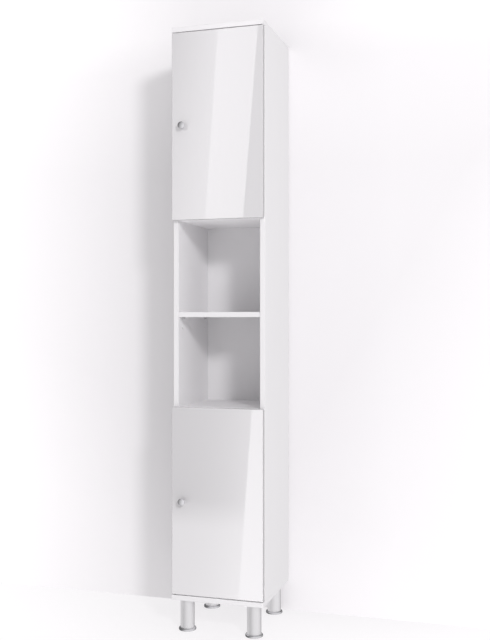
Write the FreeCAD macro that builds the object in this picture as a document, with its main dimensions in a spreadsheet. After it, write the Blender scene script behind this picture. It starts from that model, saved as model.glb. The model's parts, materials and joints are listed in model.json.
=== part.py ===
"""Tall bathroom cabinet: a column on four levelling feet, with two doors and an open niche between them.

Millimetres. +Z is up, +X is the viewer's right, the doors face -Y. The origin is on the floor, in the
middle of the footprint.
"""
import FreeCAD, Part
import os
import Sketcher

os.makedirs("parts", exist_ok=True)
doc = FreeCAD.newDocument("bathroom_cabinet")

# ---------------------------------------------------------------- driving dimensions
SIZES = [
    # cabinet
    ("width", 300, "overall width"),
    ("depth", 312, "front of the doors to the rear edge"),
    ("height", 1900, "floor to the top face"),
    ("board", 16, "thickness of the boards"),
    ("leg_height", 100, "floor to the underside"),
    ("edge_round", 1, "rounding of the visible board edges"),
    # doors
    ("door_thickness", 16, "door board"),
    ("door_gap", 2.5, "between a closed door and the carcass"),
    ("door_clearance", 2, "between a door and the top or bottom panel"),
    ("door_reveal", 1, "door edge inside the cabinet's side"),
    # niche and shelves
    ("niche_shelf_height", 283, "niche floor to the underside of the niche shelf"),
    ("inner_shelf_height", 279, "compartment floor to the underside of an inner shelf"),
    ("shelf_setback", 2, "niche shelf behind the front edge of the side panels"),
    ("inner_shelf_setback", 14, "inner shelf behind the front edge of the side panels"),
    ("shelf_side_gap", 0.3, "each end of a shelf to the side panel"),
    ("shelf_back_gap", 0.3, "shelf to the back panel"),
    ("pin_inset", 37, "pin holes from the front edge and from the back panel"),
    ("pin_pitch", 32, "pin hole spacing"),
    ("pin_radius", 2.5, "shelf pin in the panel"),
    ("pin_reach", 8, "shelf pin out of the panel"),
    ("pin_depth", 9, "shelf pin in the panel"),
    ("pin_head_radius", 3, "shelf pin under the shelf"),
    # back panel
    ("back_thickness", 3, "back panel"),
    ("back_setback", 8, "rear face of the back panel to the rear edge"),
    ("groove_depth", 6, "groove for the back panel"),
    ("groove_clearance", 0.2, "back panel to each wall of its groove"),
    # panel fittings
    ("cam_radius", 7.5, "cam lock"),
    ("cam_length", 12.5, "cam lock"),
    ("cam_distance", 34, "cam centre to the end of its board"),
    ("bolt_radius", 3.5, "cam bolt"),
    ("bolt_thread_radius", 2.5, "screwed end of a cam bolt"),
    ("bolt_thread_length", 11, "screwed end of a cam bolt"),
    ("bolt_past_cam", 1.5, "cam bolt past the cam's centre"),
    ("dowel_radius", 4, "wooden dowel"),
    ("dowel_in_face", 10, "dowel in the face of a board"),
    ("dowel_in_edge", 20, "dowel in the edge of a board"),
    ("fitting_front", 50, "front fittings from the front edge of a side panel"),
    ("fitting_rear", 230, "rear fittings from the front edge of a side panel"),
    ("dowel_place", 140, "dowel from the front edge of a side panel"),
    ("dowel_chamfer", 1, "chamfer of a dowel's ends"),
    ("slot_clearance", 0.2, "cam bolt in the slot of its cam"),
    ("hole_clearance", 0.05, "radial clearance of a fitting in its hole"),
    ("hole_end", 0.5, "blind hole past the end of its fitting"),
    ("head_chamfer", 0.7, "chamfer of a screw head"),
    # knobs
    ("knob_inset", 37, "knob axis from the door's free edge"),
    ("knob_reach", 20, "knob in front of the door"),
    ("knob_radius", 11, "head of the knob"),
    ("knob_foot_radius", 6, "foot of the knob"),
    ("knob_waist_radius", 4.5, "waist of the knob"),
    ("knob_rim", 3.5, "height of the head's rim"),
    ("knob_dome", 2.5, "height of the head's dome"),
    ("knob_step", 1.5, "height of the knob's foot"),
    ("knob_round", 1, "rounding under the head's rim"),
    ("knob_waist_sag", 0.8, "hollow of the knob's waist"),
    ("knob_neck_sag", 1.2, "hollow under the knob's head"),
    ("knob_screw_radius", 2, "screw in the knob"),
    ("knob_screw_depth", 9, "screw in the knob"),
    ("knob_screw_head_radius", 4, "screw head behind the door"),
    ("knob_screw_head", 1.8, "screw head behind the door"),
    # bumpers
    ("bumper_radius", 3.5, "door bumper"),
    ("bumper_gap", 0.3, "bumper to the closed door"),
    ("bumper_inset", 30, "bumper from the end of its door"),
    ("bumper_taper", 0.8, "taper of a bumper"),
    # hinges
    ("hinge_inset", 90, "hinge from the end of its door"),
    ("cup_radius", 17.5, "hinge cup"),
    ("cup_depth", 12, "hinge cup"),
    ("cup_wall", 0.8, "hinge cup"),
    ("cup_edge", 3, "hinge cup to the door's edge"),
    ("cup_flange", 1, "thickness of the cup's flange"),
    ("cup_flange_rim", 0.7, "flange past the cup"),
    ("wing_reach", 28, "end of a flange wing from the cup's centre"),
    ("wing_width", 14, "flange wing"),
    ("wing_offset", 9.5, "cup screws behind the cup's centre line"),
    ("cup_screw_reach", 22.5, "cup screw from the cup's centre"),
    ("small_screw_radius", 1.75, "shank of a wood screw"),
    ("small_screw_length", 12, "length of a wood screw"),
    ("small_screw_head_radius", 3.5, "head of a wood screw"),
    ("small_screw_head", 1.2, "head of a wood screw"),
    ("small_screw_tip", 2, "point of a wood screw"),
    ("axis_inset", 6.5, "hinge pin from the door's edge"),
    ("axis_depth", 8, "hinge pin behind the door's rear face"),
    ("hinge_pin_radius", 1, "hinge pin"),
    ("hinge_pin_half", 6.6, "half the length of a hinge pin"),
    ("hinge_pin_fit", 0.02, "hinge pin in the cheeks, radial"),
    ("knuckle_radius", 1.9, "knuckle of the arm round its pin"),
    ("knuckle_half", 4, "half the width of the arm's neck"),
    ("running_clearance", 0.05, "arm on its pin, radial"),
    ("cheek_gap", 0.3, "arm to the cheeks in the cup"),
    ("cheek_width", 2.3, "cheeks in the cup"),
    ("cheek_margin", 1.2, "cheek past the pin's axis, towards the door's edge"),
    ("neck_thickness", 2.6, "neck of the arm"),
    ("neck_offset", 0.4, "neck's face behind the pin's axis"),
    ("neck_bend", 3, "inner bend of the neck"),
    ("neck_gap", 0.5, "neck to the rail"),
    ("arm_sheet", 1.5, "sheet of the arm"),
    ("arm_length", 58, "arm, from the door's rear face"),
    ("arm_flange", 6, "side walls of the arm"),
    ("arm_overhang", 4, "side walls of the arm in front of the rail"),
    ("arm_gap", 0.2, "arm's side walls to the plate's rail"),
    ("plate_height", 10, "mounting plate, side panel to the arm"),
    ("plate_base", 2.5, "wings of the mounting plate"),
    ("plate_inset", 37, "plate screws from the front edge of the side panel"),
    ("plate_spacing", 32, "plate screws apart"),
    ("plate_wing_half", 24, "half the height of the mounting plate"),
    ("plate_wing_width", 17, "wings of the mounting plate"),
    ("plate_corner", 3, "corners of the mounting plate"),
    ("rail_half", 6, "half the width of the plate's rail"),
    ("rail_front", 10, "plate's rail from the front edge of the side panel"),
    ("rail_length", 44, "plate's rail"),
    ("arm_screw_radius", 2.5, "screw that holds the arm on its plate"),
    ("arm_screw_head_radius", 4.5, "screw that holds the arm on its plate"),
    ("arm_screw_head", 2, "screw that holds the arm on its plate"),
    ("arm_screw_depth", 8, "arm screw in the rail"),
    ("arm_screw_rear", 9, "rear arm screw from the rail's end"),
    ("arm_screw_front", 9, "front arm screw from the rail's start"),
    # legs
    ("leg_side_inset", 40, "leg axis from the cabinet's side"),
    ("leg_front_inset", 37, "front leg axis from the front edge"),
    ("leg_rear_inset", 36, "rear leg axis from the rear edge"),
    ("leg_radius", 22.5, "leg tube"),
    ("leg_wall", 1.5, "leg tube"),
    ("foot_radius", 27.5, "foot at its widest"),
    ("foot_height", 8, "foot below the tube"),
    ("foot_round", 1.5, "rounding of the foot at the floor"),
    ("foot_side", 4.4, "height where the foot's upper side starts to draw in"),
    ("foot_bulge", 0.7, "curve of the foot's upper side"),
    ("foot_lip", 1, "foot's upper rim past the tube"),
    ("spindle_radius", 5, "foot spindle"),
    ("spindle_length", 40, "foot spindle"),
    ("spindle_clearance", 0.08, "foot spindle in its plug, radial"),
    ("bottom_plug", 12, "plug in the lower end of the tube"),
    ("top_plug", 10, "plug in the upper end of the tube"),
    ("stud_radius", 5, "leg stud"),
    ("stud_length", 11, "leg stud above the tube"),
    ("insert_radius", 7.5, "threaded insert"),
    ("insert_length", 13, "threaded insert"),
    ("insert_flange_radius", 11, "flange of the insert"),
    ("insert_flange", 1.5, "flange of the insert"),
    # wall brackets
    ("bracket_spacing", 180, "wall brackets apart"),
    ("bracket_width", 30, "wall bracket"),
    ("bracket_leg", 40, "wall bracket"),
    ("bracket_sheet", 2, "wall bracket"),
    ("bracket_hole_radius", 3, "hole for the wall screw"),
    ("bracket_hole_drop", 24, "hole for the wall screw below the top panel"),
    ("bracket_screw_reach", 24, "bracket screw from the back panel"),
]

sheet = doc.addObject("Spreadsheet::Sheet", "Dims")
for row, (alias, value, meaning) in enumerate(SIZES, start=1):
    sheet.set(f"A{row}", meaning)
    sheet.set(f"B{row}", str(value))
    sheet.setAlias(f"B{row}", alias)
doc.recompute()


def size(expression):
    """The number that an expression on the sheet gives now."""
    return float(sheet.evalExpression(expression))


def quarter(radius):
    """The bulge of a quarter circle."""
    return f"({radius} * (1 - sqrt(1 / 2)))"


# ---------------------------------------------------------------- places worked out from the sheet
front = "((Dims.knob_reach - Dims.depth) / 2)"
rear = f"({front} + Dims.depth)"
left = "(-Dims.width / 2)"
right = "(Dims.width / 2)"
door_rear = f"({front} + Dims.door_thickness)"
side_front = f"({door_rear} + Dims.door_gap)"
side_depth = f"({rear} - {side_front})"
side_bottom = "(Dims.leg_height + Dims.board)"
side_height = "(Dims.height - Dims.leg_height - 2 * Dims.board)"
inner_width = "(Dims.width - 2 * Dims.board)"
section = f"(({side_height} - 2 * Dims.door_clearance) / 3)"
door_width = "(Dims.width - 2 * Dims.door_reveal)"
lower_door_bottom = f"({side_bottom} + Dims.door_clearance)"
niche_bottom = f"({lower_door_bottom} + {section})"
niche_top = f"({niche_bottom} + {section})"
upper_door_bottom = niche_top
back_front = f"({rear} - Dims.back_setback - Dims.back_thickness)"
groove_front = f"({side_depth} - Dims.back_setback - Dims.back_thickness - Dims.groove_clearance)"
groove_width = "(Dims.back_thickness + 2 * Dims.groove_clearance)"
panel_depth = f"({side_depth} - Dims.back_setback - Dims.back_thickness)"
knob_z = f"({section} / 2)"
hinge_x = "(Dims.width / 2 - Dims.door_reveal - Dims.axis_inset)"
hinge_y = f"({door_rear} - Dims.axis_depth)"
shelf_heights = {
    "niche": f"({niche_bottom} + Dims.niche_shelf_height)",
    "upper": f"({niche_top} + Dims.board + Dims.inner_shelf_height)",
    "lower": f"({side_bottom} + Dims.inner_shelf_height)",
}
door_bottoms = {"upper": upper_door_bottom, "lower": lower_door_bottom}
hinge_heights = {
    (door, end): f"({bottom} + {offset})"
    for door, bottom in door_bottoms.items()
    for end, offset in (("bottom", "Dims.hinge_inset"), ("top", f"{section} - Dims.hinge_inset"))
}

# ---------------------------------------------------------------- helpers
TOUCH = 1e-6
LEAST_CUT = 0.1
nodes = []


def new_body(label, x="0", y="0", z="0"):
    """A sub-part whose own origin is placed at x, y, z."""
    body = doc.addObject("PartDesign::Body", label)
    body.Label = label
    place(body, x, y, z)
    nodes.append(body)
    return body


def place(item, x, y, z):
    for axis, value in zip("xyz", (x, y, z)):
        item.setExpression(f"Placement.Base.{axis}", value)


def turn(item, axis, angle):
    """Turns a sub-part about its own origin."""
    item.Placement = FreeCAD.Placement(item.Placement.Base, FreeCAD.Rotation(axis, angle))


def sketch_on(body, name, plane, offset="0"):
    """A sketch on one of the body's own origin planes, moved along the plane's normal."""
    drawing = body.newObject("Sketcher::SketchObject", name)
    support = next(item for item in body.Origin.OriginFeatures if item.Role == plane)
    drawing.AttachmentSupport = [(support, "")]
    drawing.MapMode = "FlatFace"
    drawing.setExpression("AttachmentOffset.Base.z", offset)
    return drawing


def fix(drawing, kind, geometry, point, value):
    """Ties one coordinate of a sketch point to an expression."""
    axis = -2 if kind == "DistanceX" else -1
    if value == "0":
        drawing.addConstraint(Sketcher.Constraint("PointOnObject", geometry, point, axis))
        return
    index = drawing.addConstraint(Sketcher.Constraint(kind, -1, 1, geometry, point, size(value)))
    name = f"{kind[-1]}{geometry}_{point}"
    drawing.renameConstraint(index, name)
    drawing.setExpression(f"Constraints.{name}", value)


def arc_middle(start, end, bulge):
    """The point halfway along an arc, from its bulge, or from its centre on the upright axis."""
    if bulge == "centred":
        height = (end.Length ** 2 - start.Length ** 2) / (2 * (end.y - start.y))
        centre = FreeCAD.Vector(0, height, 0)
        radius = (start - centre).Length
        return centre + ((start + end) * 0.5 - centre).normalize() * radius
    along = end - start
    outward = FreeCAD.Vector(along.y, -along.x, 0).normalize()
    return (start + end) * 0.5 + outward * size(bulge)


def outline(drawing, points, arcs=None):
    """A closed outline through points.

    arcs gives, for the side that leaves a point, its bulge to the right of the way round, or "centred" where
    the arc's centre lies on the sketch's upright axis.
    """
    arcs = arcs or {}
    count = len(points)
    spots = [FreeCAD.Vector(size(x), size(y), 0) for x, y in points]
    ends = []
    for index, start in enumerate(spots):
        end = spots[(index + 1) % count]
        if index in arcs:
            geometry = drawing.addGeometry(Part.Arc(start, arc_middle(start, end, arcs[index]), end))
            flipped = (drawing.getPoint(geometry, 1) - start).Length > TOUCH
            ends.append((geometry, 2, 1) if flipped else (geometry, 1, 2))
        else:
            ends.append((drawing.addGeometry(Part.LineSegment(start, end)), 1, 2))
    for index, (geometry, _, last) in enumerate(ends):
        following, first, _ = ends[(index + 1) % count]
        drawing.addConstraint(Sketcher.Constraint("Coincident", geometry, last, following, first))
    for (geometry, first, _), (x, y) in zip(ends, points):
        fix(drawing, "DistanceX", geometry, first, x)
        fix(drawing, "DistanceY", geometry, first, y)
    for index, bulge in arcs.items():
        geometry = ends[index][0]
        if bulge == "centred":
            drawing.addConstraint(Sketcher.Constraint("PointOnObject", geometry, 3, -2))
            continue
        (x0, y0), (x1, y1) = points[index], points[(index + 1) % count]
        chord = f"((({x1}) - ({x0})) ^ 2 + (({y1}) - ({y0})) ^ 2)"
        radius = f"({chord} / 4 + ({bulge}) ^ 2) / (2 * abs({bulge}))"
        row = drawing.addConstraint(Sketcher.Constraint("Radius", geometry, size(radius)))
        drawing.renameConstraint(row, f"arc{geometry}")
        drawing.setExpression(f"Constraints.arc{geometry}", radius)
    return drawing


def rectangle(drawing, x0, y0, x1, y1):
    return outline(drawing, [(x0, y0), (x1, y0), (x1, y1), (x0, y1)])


def circles(drawing, points, radius):
    """Circles of one radius at the given points."""
    for x, y in points:
        centre = FreeCAD.Vector(size(x), size(y), 0)
        up = FreeCAD.Vector(0, 0, 1)
        geometry = drawing.addGeometry(Part.Circle(centre, up, size(radius)))
        fix(drawing, "DistanceX", geometry, 3, x)
        fix(drawing, "DistanceY", geometry, 3, y)
        row = drawing.addConstraint(Sketcher.Constraint("Radius", geometry, size(radius)))
        drawing.renameConstraint(row, f"radius{geometry}")
        drawing.setExpression(f"Constraints.radius{geometry}", radius)
    return drawing


def pad(body, drawing, length, name, back=False, middle=False):
    feature = body.newObject("PartDesign::Pad", name)
    feature.Profile = drawing
    feature.setExpression("Length", length)
    feature.Reversed = back
    feature.Midplane = middle
    drawing.Visibility = False
    return feature


def pocket(body, drawing, length, name, ahead=False, middle=False):
    """Cuts against the sketch's normal, or along it when ahead is set."""
    feature = body.newObject("PartDesign::Pocket", name)
    feature.Profile = drawing
    feature.setExpression("Length", length)
    feature.Reversed = ahead
    feature.Midplane = middle
    drawing.Visibility = False
    return feature


def spin(body, drawing, name):
    """A full turn of the sketch about the sketch's own upright axis."""
    feature = body.newObject("PartDesign::Revolution", name)
    feature.Profile = drawing
    feature.ReferenceAxis = (drawing, ["V_Axis"])
    feature.Angle = 360
    drawing.Visibility = False
    return feature


def round_edges(body, base, radius, name, chosen=None):
    """Rounds the edges of the base feature that the test chooses, or all of them."""
    doc.recompute()
    edges = [f"Edge{number}" for number, edge in enumerate(base.Shape.Edges, start=1)
             if chosen is None or chosen(edge)]
    feature = body.newObject("PartDesign::Fillet", name)
    feature.Base = (base, edges)
    feature.setExpression("Radius", radius)
    return feature


def board(label, x, y, z, wide, deep, high, chosen=None):
    """A rectangular board, with its visible edges rounded."""
    body = new_body(label, x, y, z)
    drawing = rectangle(sketch_on(body, label + "_outline", "XY_Plane"), "0", "0", wide, deep)
    slab = pad(body, drawing, high, label + "_slab")
    round_edges(body, slab, "Dims.edge_round", label + "_edges", chosen)
    return body


def drill(body, name, plane, offset, points, radius, length, ahead=False):
    """Blind holes of one size, drilled from one face of a body."""
    drawing = circles(sketch_on(body, name + "_centres", plane, offset), points, radius)
    return pocket(body, drawing, length, name, ahead)


def group(label, master, places):
    """Identical pieces that share one node: the master's shape, set at each place."""
    copies = []
    for placement in places:
        copy = master.Shape.copy()
        copy.Placement = placement
        copies.append(copy)
    item = doc.addObject("Part::Feature", label)
    item.Label = label
    item.Shape = Part.makeCompound(copies)
    nodes.append(item)


def at(x, y, z, rotation=None):
    """A placement from three expressions."""
    return FreeCAD.Placement(FreeCAD.Vector(size(x), size(y), size(z)), rotation or FreeCAD.Rotation())


def facing(along, normal):
    """A rotation that takes the local x axis to along and the local z axis to normal."""
    return FreeCAD.Rotation(along, normal.cross(along), normal, "XZY")


def master_piece(name, profile, arcs=None):
    """A turned piece that groups copy: its half profile, radius by height, spun about its own z axis."""
    body = doc.addObject("PartDesign::Body", name)
    drawing = outline(sketch_on(body, name + "_profile", "XZ_Plane"), profile, arcs)
    spin(body, drawing, name + "_turned")
    return body


def at_front(edge):
    """Whether an edge lies on the front face of a board, where y is 0."""
    return edge.BoundBox.YMax < TOUCH


axis_x = FreeCAD.Vector(1, 0, 0)
axis_y = FreeCAD.Vector(0, 1, 0)
axis_z = FreeCAD.Vector(0, 0, 1)

# ---------------------------------------------------------------- panel fittings: where they sit
# Depths are counted from the front edge of the side panels, heights from the floor.
fitting_depths = ["Dims.fitting_front", "Dims.fitting_rear"]
half_board = "(Dims.board / 2)"
cam_hole = "(Dims.cam_radius + Dims.hole_clearance)"
bolt_hole = "(Dims.bolt_radius + 2 * Dims.hole_clearance)"
thread_hole = "(Dims.bolt_thread_radius + Dims.hole_clearance)"
dowel_hole = "(Dims.dowel_radius + Dims.hole_clearance)"
small_hole = "(Dims.small_screw_radius + Dims.hole_clearance)"
fixed_panels = {"niche_floor_panel": f"({niche_bottom} - Dims.board)", "niche_ceiling_panel": niche_top}
shelf_pin_depths = ["Dims.pin_inset", f"({panel_depth} - Dims.pin_inset)"]
plate_screw_half = "(Dims.plate_spacing / 2)"


def above(base, height):
    """A height in the frame of a piece whose own origin is at base."""
    return f"({height} - {base})"


# ---------------------------------------------------------------- carcass panels
def side_panel(label, x, inner_offset, is_right):
    """A side panel, drilled inside for pins, cams, bolts, dowels and, on the right, the hinge plates."""
    body = board(label, x, side_front, side_bottom, "Dims.board", side_depth, side_height, at_front)
    inner_x = "0" if is_right else "(Dims.board - Dims.groove_depth)"
    outer_x = "Dims.groove_depth" if is_right else "Dims.board"
    groove = sketch_on(body, label + "_groove_outline", "XY_Plane")
    rectangle(groove, inner_x, groove_front, outer_x, f"({groove_front} + {groove_width})")
    pocket(body, groove, side_height, label + "_groove", ahead=True)

    def into_face(name, points, radius, length):
        drill(body, f"{label}_{name}", "YZ_Plane", inner_offset, points, radius, length, ahead=is_right)

    ends = (("lower", "0", True, "Dims.cam_distance"),
            ("upper", side_height, False, f"({side_height} - Dims.cam_distance)"))
    for end, offset, ahead, _ in ends:
        drill(body, f"{label}_{end}_bolt_holes", "XY_Plane", offset,
              [(half_board, depth) for depth in fitting_depths], bolt_hole, "Dims.cam_distance", ahead)
        drill(body, f"{label}_{end}_dowel_hole", "XY_Plane", offset,
              [(half_board, "Dims.dowel_place")], dowel_hole, "(Dims.dowel_in_edge + Dims.hole_end)", ahead)
    into_face("cam_holes", [(depth, height) for *_, height in ends for depth in fitting_depths],
              cam_hole, "(Dims.cam_length + Dims.hole_clearance)")
    panel_middles = [above(side_bottom, f"{z} + {half_board}") for z in fixed_panels.values()]
    into_face("bolt_thread_holes", [(depth, z) for z in panel_middles for depth in fitting_depths],
              thread_hole, "(Dims.bolt_thread_length + Dims.hole_end)")
    into_face("dowel_holes", [("Dims.dowel_place", z) for z in panel_middles],
              dowel_hole, "(Dims.dowel_in_face + Dims.hole_end)")
    pin_rows = [above(side_bottom, f"{z} - Dims.pin_head_radius - {step} * Dims.pin_pitch")
                for z in shelf_heights.values() for step in (0, 1)]
    into_face("pin_holes", [(depth, z) for z in pin_rows for depth in shelf_pin_depths],
              "(Dims.pin_radius + Dims.hole_clearance)", "(Dims.pin_depth + Dims.hole_end)")
    if is_right:
        screw_rows = [above(side_bottom, f"{z} + {sign} * {plate_screw_half}")
                      for z in hinge_heights.values() for sign in (-1, 1)]
        into_face("plate_screw_holes", [("Dims.plate_inset", z) for z in screw_rows],
                  small_hole, "Dims.small_screw_length")
    return body


side_panel("left_side_panel", left, "Dims.board", False)
side_panel("right_side_panel", f"({right} - Dims.board)", "0", True)

side_offset = f"({side_front} - {front})"
groove_start = "(Dims.board - Dims.groove_depth)"
end_middles = [half_board, f"(Dims.width - {half_board})"]


def end_panel(label, z, inner_offset, ahead):
    """The top or bottom panel. Its inner face takes the back panel and the side panels' fittings."""
    body = board(label, left, front, z, "Dims.width", "Dims.depth", "Dims.board")
    groove = sketch_on(body, label + "_groove_outline", "XY_Plane", inner_offset)
    rectangle(groove, groove_start, f"({side_offset} + {groove_front})", f"(Dims.width - {groove_start})",
              f"({side_offset} + {groove_front} + {groove_width})")
    pocket(body, groove, "Dims.groove_depth", label + "_groove", ahead)
    drill(body, label + "_bolt_holes", "XY_Plane", inner_offset,
          [(x, f"({side_offset} + {depth})") for x in end_middles for depth in fitting_depths],
          thread_hole, "(Dims.bolt_thread_length + Dims.hole_end)", ahead)
    drill(body, label + "_dowel_holes", "XY_Plane", inner_offset,
          [(x, f"({side_offset} + Dims.dowel_place)") for x in end_middles],
          dowel_hole, "(Dims.dowel_in_face + Dims.hole_end)", ahead)
    return body


bottom_panel = end_panel("bottom_panel", "Dims.leg_height", "Dims.board", False)
top_panel = end_panel("top_panel", "(Dims.height - Dims.board)", "0", True)

leg_places = {
    f"{row}_{side}": (x, y)
    for row, y in (("front", "Dims.leg_front_inset"), ("rear", "(Dims.depth - Dims.leg_rear_inset)"))
    for side, x in (("left", "Dims.leg_side_inset"), ("right", "(Dims.width - Dims.leg_side_inset)"))
}
drill(bottom_panel, "insert_holes", "XY_Plane", "0", leg_places.values(),
      "(Dims.insert_radius + Dims.hole_clearance)", "Dims.insert_length", ahead=True)
drill(bottom_panel, "insert_flange_seats", "XY_Plane", "0", leg_places.values(),
      "(Dims.insert_flange_radius + Dims.hole_clearance)", "Dims.insert_flange", ahead=True)

bracket_middles = [f"({sign} * Dims.bracket_spacing / 2)" for sign in (-1, 1)]
bracket_screw_y = f"({back_front} - Dims.bracket_screw_reach)"
drill(top_panel, "bracket_screw_holes", "XY_Plane", "0",
      [(f"({x} - {left})", f"({bracket_screw_y} - {front})") for x in bracket_middles],
      small_hole, "Dims.small_screw_length", ahead=True)

for label, z in fixed_panels.items():
    is_floor = label == "niche_floor_panel"
    panel = board(label, f"({left} + Dims.board)", side_front, z, inner_width, panel_depth, "Dims.board",
                  at_front)
    cam_middles = ["Dims.cam_distance", f"({inner_width} - Dims.cam_distance)"]
    for end, offset, ahead in (("left", "0", True), ("right", inner_width, False)):
        drill(panel, f"{label}_{end}_bolt_holes", "YZ_Plane", offset,
              [(depth, half_board) for depth in fitting_depths], bolt_hole, "Dims.cam_distance", ahead)
        drill(panel, f"{label}_{end}_dowel_hole", "YZ_Plane", offset,
              [("Dims.dowel_place", half_board)], dowel_hole, "(Dims.dowel_in_edge + Dims.hole_end)", ahead)
    drill(panel, f"{label}_cam_holes", "XY_Plane", "0" if is_floor else "Dims.board",
          [(x, depth) for x in cam_middles for depth in fitting_depths],
          cam_hole, "(Dims.cam_length + Dims.hole_clearance)", ahead=is_floor)

back_tongue = "(Dims.groove_depth - Dims.groove_clearance)"
back_panel = new_body("back_panel", f"({left} + Dims.board - {back_tongue})", back_front,
                      f"({side_bottom} - {back_tongue})")
back_outline = sketch_on(back_panel, "back_outline", "XZ_Plane")
rectangle(back_outline, "0", "0", f"({inner_width} + 2 * {back_tongue})",
          f"({side_height} + 2 * {back_tongue})")
pad(back_panel, back_outline, "Dims.back_thickness", "back_sheet", back=True)
wall_screw_z = "(Dims.height - Dims.board - Dims.bracket_hole_drop)"
drill(back_panel, "wall_screw_holes", "XZ_Plane", "0",
      [(f"({x} - {left} - Dims.board + {back_tongue})", f"({wall_screw_z} - {side_bottom} + {back_tongue})")
       for x in bracket_middles],
      "Dims.bracket_hole_radius", "Dims.back_thickness")

# ---------------------------------------------------------------- shelves on their pins
shelf_x = f"({left} + Dims.board + Dims.shelf_side_gap)"
shelf_width = f"({inner_width} - 2 * Dims.shelf_side_gap)"
shelf_fronts = {"niche": "Dims.shelf_setback", "upper": "Dims.inner_shelf_setback",
                "lower": "Dims.inner_shelf_setback"}
shelf_labels = {"niche": "niche_shelf", "upper": "upper_inner_shelf", "lower": "lower_inner_shelf"}
for place_name, z in shelf_heights.items():
    setback = shelf_fronts[place_name]
    board(shelf_labels[place_name], shelf_x, f"({side_front} + {setback})", z, shelf_width,
          f"({panel_depth} - {setback} - Dims.shelf_back_gap)", "Dims.board", at_front)

pin_master = master_piece("pin_master", [
    ("0", "(-Dims.pin_depth)"), ("Dims.pin_radius", "(-Dims.pin_depth)"), ("Dims.pin_radius", "0"),
    ("Dims.pin_head_radius", "0"), ("Dims.pin_head_radius", "Dims.pin_reach"), ("0", "Dims.pin_reach"),
])

# ---------------------------------------------------------------- doors
cup_middle = f"({door_width} - Dims.cup_edge - Dims.cup_radius)"
cup_screw_x = f"({cup_middle} - Dims.wing_offset)"
for door, bottom in door_bottoms.items():
    body = board(f"{door}_door", f"({left} + Dims.door_reveal)", front, bottom,
                 door_width, "Dims.door_thickness", section)
    local_heights = [above(bottom, hinge_heights[door, end]) for end in ("bottom", "top")]
    rear_face = "(-Dims.door_thickness)"
    drill(body, f"{door}_cup_holes", "XZ_Plane", rear_face, [(cup_middle, z) for z in local_heights],
          "(Dims.cup_radius + Dims.hole_clearance)", "(Dims.cup_depth + Dims.hole_clearance)", ahead=True)
    drill(body, f"{door}_cup_screw_holes", "XZ_Plane", rear_face,
          [(cup_screw_x, f"({z} + {sign} * Dims.cup_screw_reach)")
           for z in local_heights for sign in (-1, 1)],
          small_hole, "Dims.small_screw_length", ahead=True)
    drill(body, f"{door}_knob_hole", "XZ_Plane", "0", [("Dims.knob_inset", knob_z)],
          "(Dims.knob_screw_radius + Dims.hole_clearance)", "Dims.door_thickness")

# ---------------------------------------------------------------- knobs
knob_x = f"({left} + Dims.door_reveal + Dims.knob_inset)"
rim_top = "(Dims.knob_reach - Dims.knob_dome)"
rim_bottom = f"({rim_top} - Dims.knob_rim)"
for door, bottom in door_bottoms.items():
    knob = new_body(f"{door}_knob", knob_x, front, f"({bottom} + {knob_z})")
    profile = sketch_on(knob, f"{door}_knob_profile", "XZ_Plane")
    outline(profile, [
        ("0", "0"), ("Dims.knob_foot_radius", "0"), ("Dims.knob_foot_radius", "Dims.knob_step"),
        ("Dims.knob_waist_radius", f"({rim_bottom} / 2)"),
        ("(Dims.knob_radius - Dims.knob_round)", rim_bottom),
        ("Dims.knob_radius", f"({rim_bottom} + Dims.knob_round)"), ("Dims.knob_radius", rim_top),
        ("0", "Dims.knob_reach"),
    ], arcs={2: "(-Dims.knob_waist_sag)", 3: "(-Dims.knob_neck_sag)", 4: quarter("Dims.knob_round"),
             6: "centred"})
    spin(knob, profile, f"{door}_knob_turned")
    drill(knob, f"{door}_knob_thread", "XY_Plane", "0", [("0", "0")],
          "(Dims.knob_screw_radius + Dims.hole_clearance)", "(Dims.knob_screw_depth + Dims.hole_end)",
          ahead=True)
    turn(knob, axis_x, 90)

    screw = new_body(f"{door}_knob_screw", knob_x, door_rear, f"({bottom} + {knob_z})")
    profile = sketch_on(screw, f"{door}_knob_screw_profile", "XZ_Plane")
    tip = "(-Dims.door_thickness - Dims.knob_screw_depth)"
    outline(profile, [
        ("0", tip), ("Dims.knob_screw_radius", tip), ("Dims.knob_screw_radius", "0"),
        ("Dims.knob_screw_head_radius", "0"),
        ("(Dims.knob_screw_head_radius - Dims.head_chamfer)", "Dims.knob_screw_head"),
        ("0", "Dims.knob_screw_head"),
    ])
    spin(screw, profile, f"{door}_knob_screw_turned")
    turn(screw, axis_x, -90)

# ---------------------------------------------------------------- concealed hinges
# A hinge is drawn round its pin: x towards the viewer's right, y into the cabinet, z up the pin.
door_edge = "Dims.axis_inset"
mouth = "Dims.axis_depth"
cup_x = f"({door_edge} - Dims.cup_edge - Dims.cup_radius)"
cup_floor = f"({mouth} - Dims.cup_depth)"
panel_edge_y = f"({mouth} + Dims.door_gap)"
panel_face_x = f"({door_edge} + Dims.door_reveal - Dims.board)"
rail_top_x = f"({panel_face_x} - Dims.plate_height)"
web_x = f"({rail_top_x} - Dims.arm_sheet)"
wing_x = f"({cup_x} - Dims.wing_offset)"
rail_start_y = f"({panel_edge_y} + Dims.rail_front)"
rail_end_y = f"({rail_start_y} + Dims.rail_length)"
arm_end_y = f"({mouth} + Dims.arm_length)"
rear_screw_y = f"({rail_end_y} - Dims.arm_screw_rear)"
front_screw_y = f"({rail_start_y} + Dims.arm_screw_front)"
arm_half = "(Dims.rail_half + Dims.arm_gap + Dims.arm_sheet)"
cheek_inner = "(Dims.knuckle_half + Dims.cheek_gap)"
cheek_outer = f"({cheek_inner} + Dims.cheek_width)"
plate_middle_y = f"({panel_edge_y} + Dims.plate_inset)"


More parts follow.
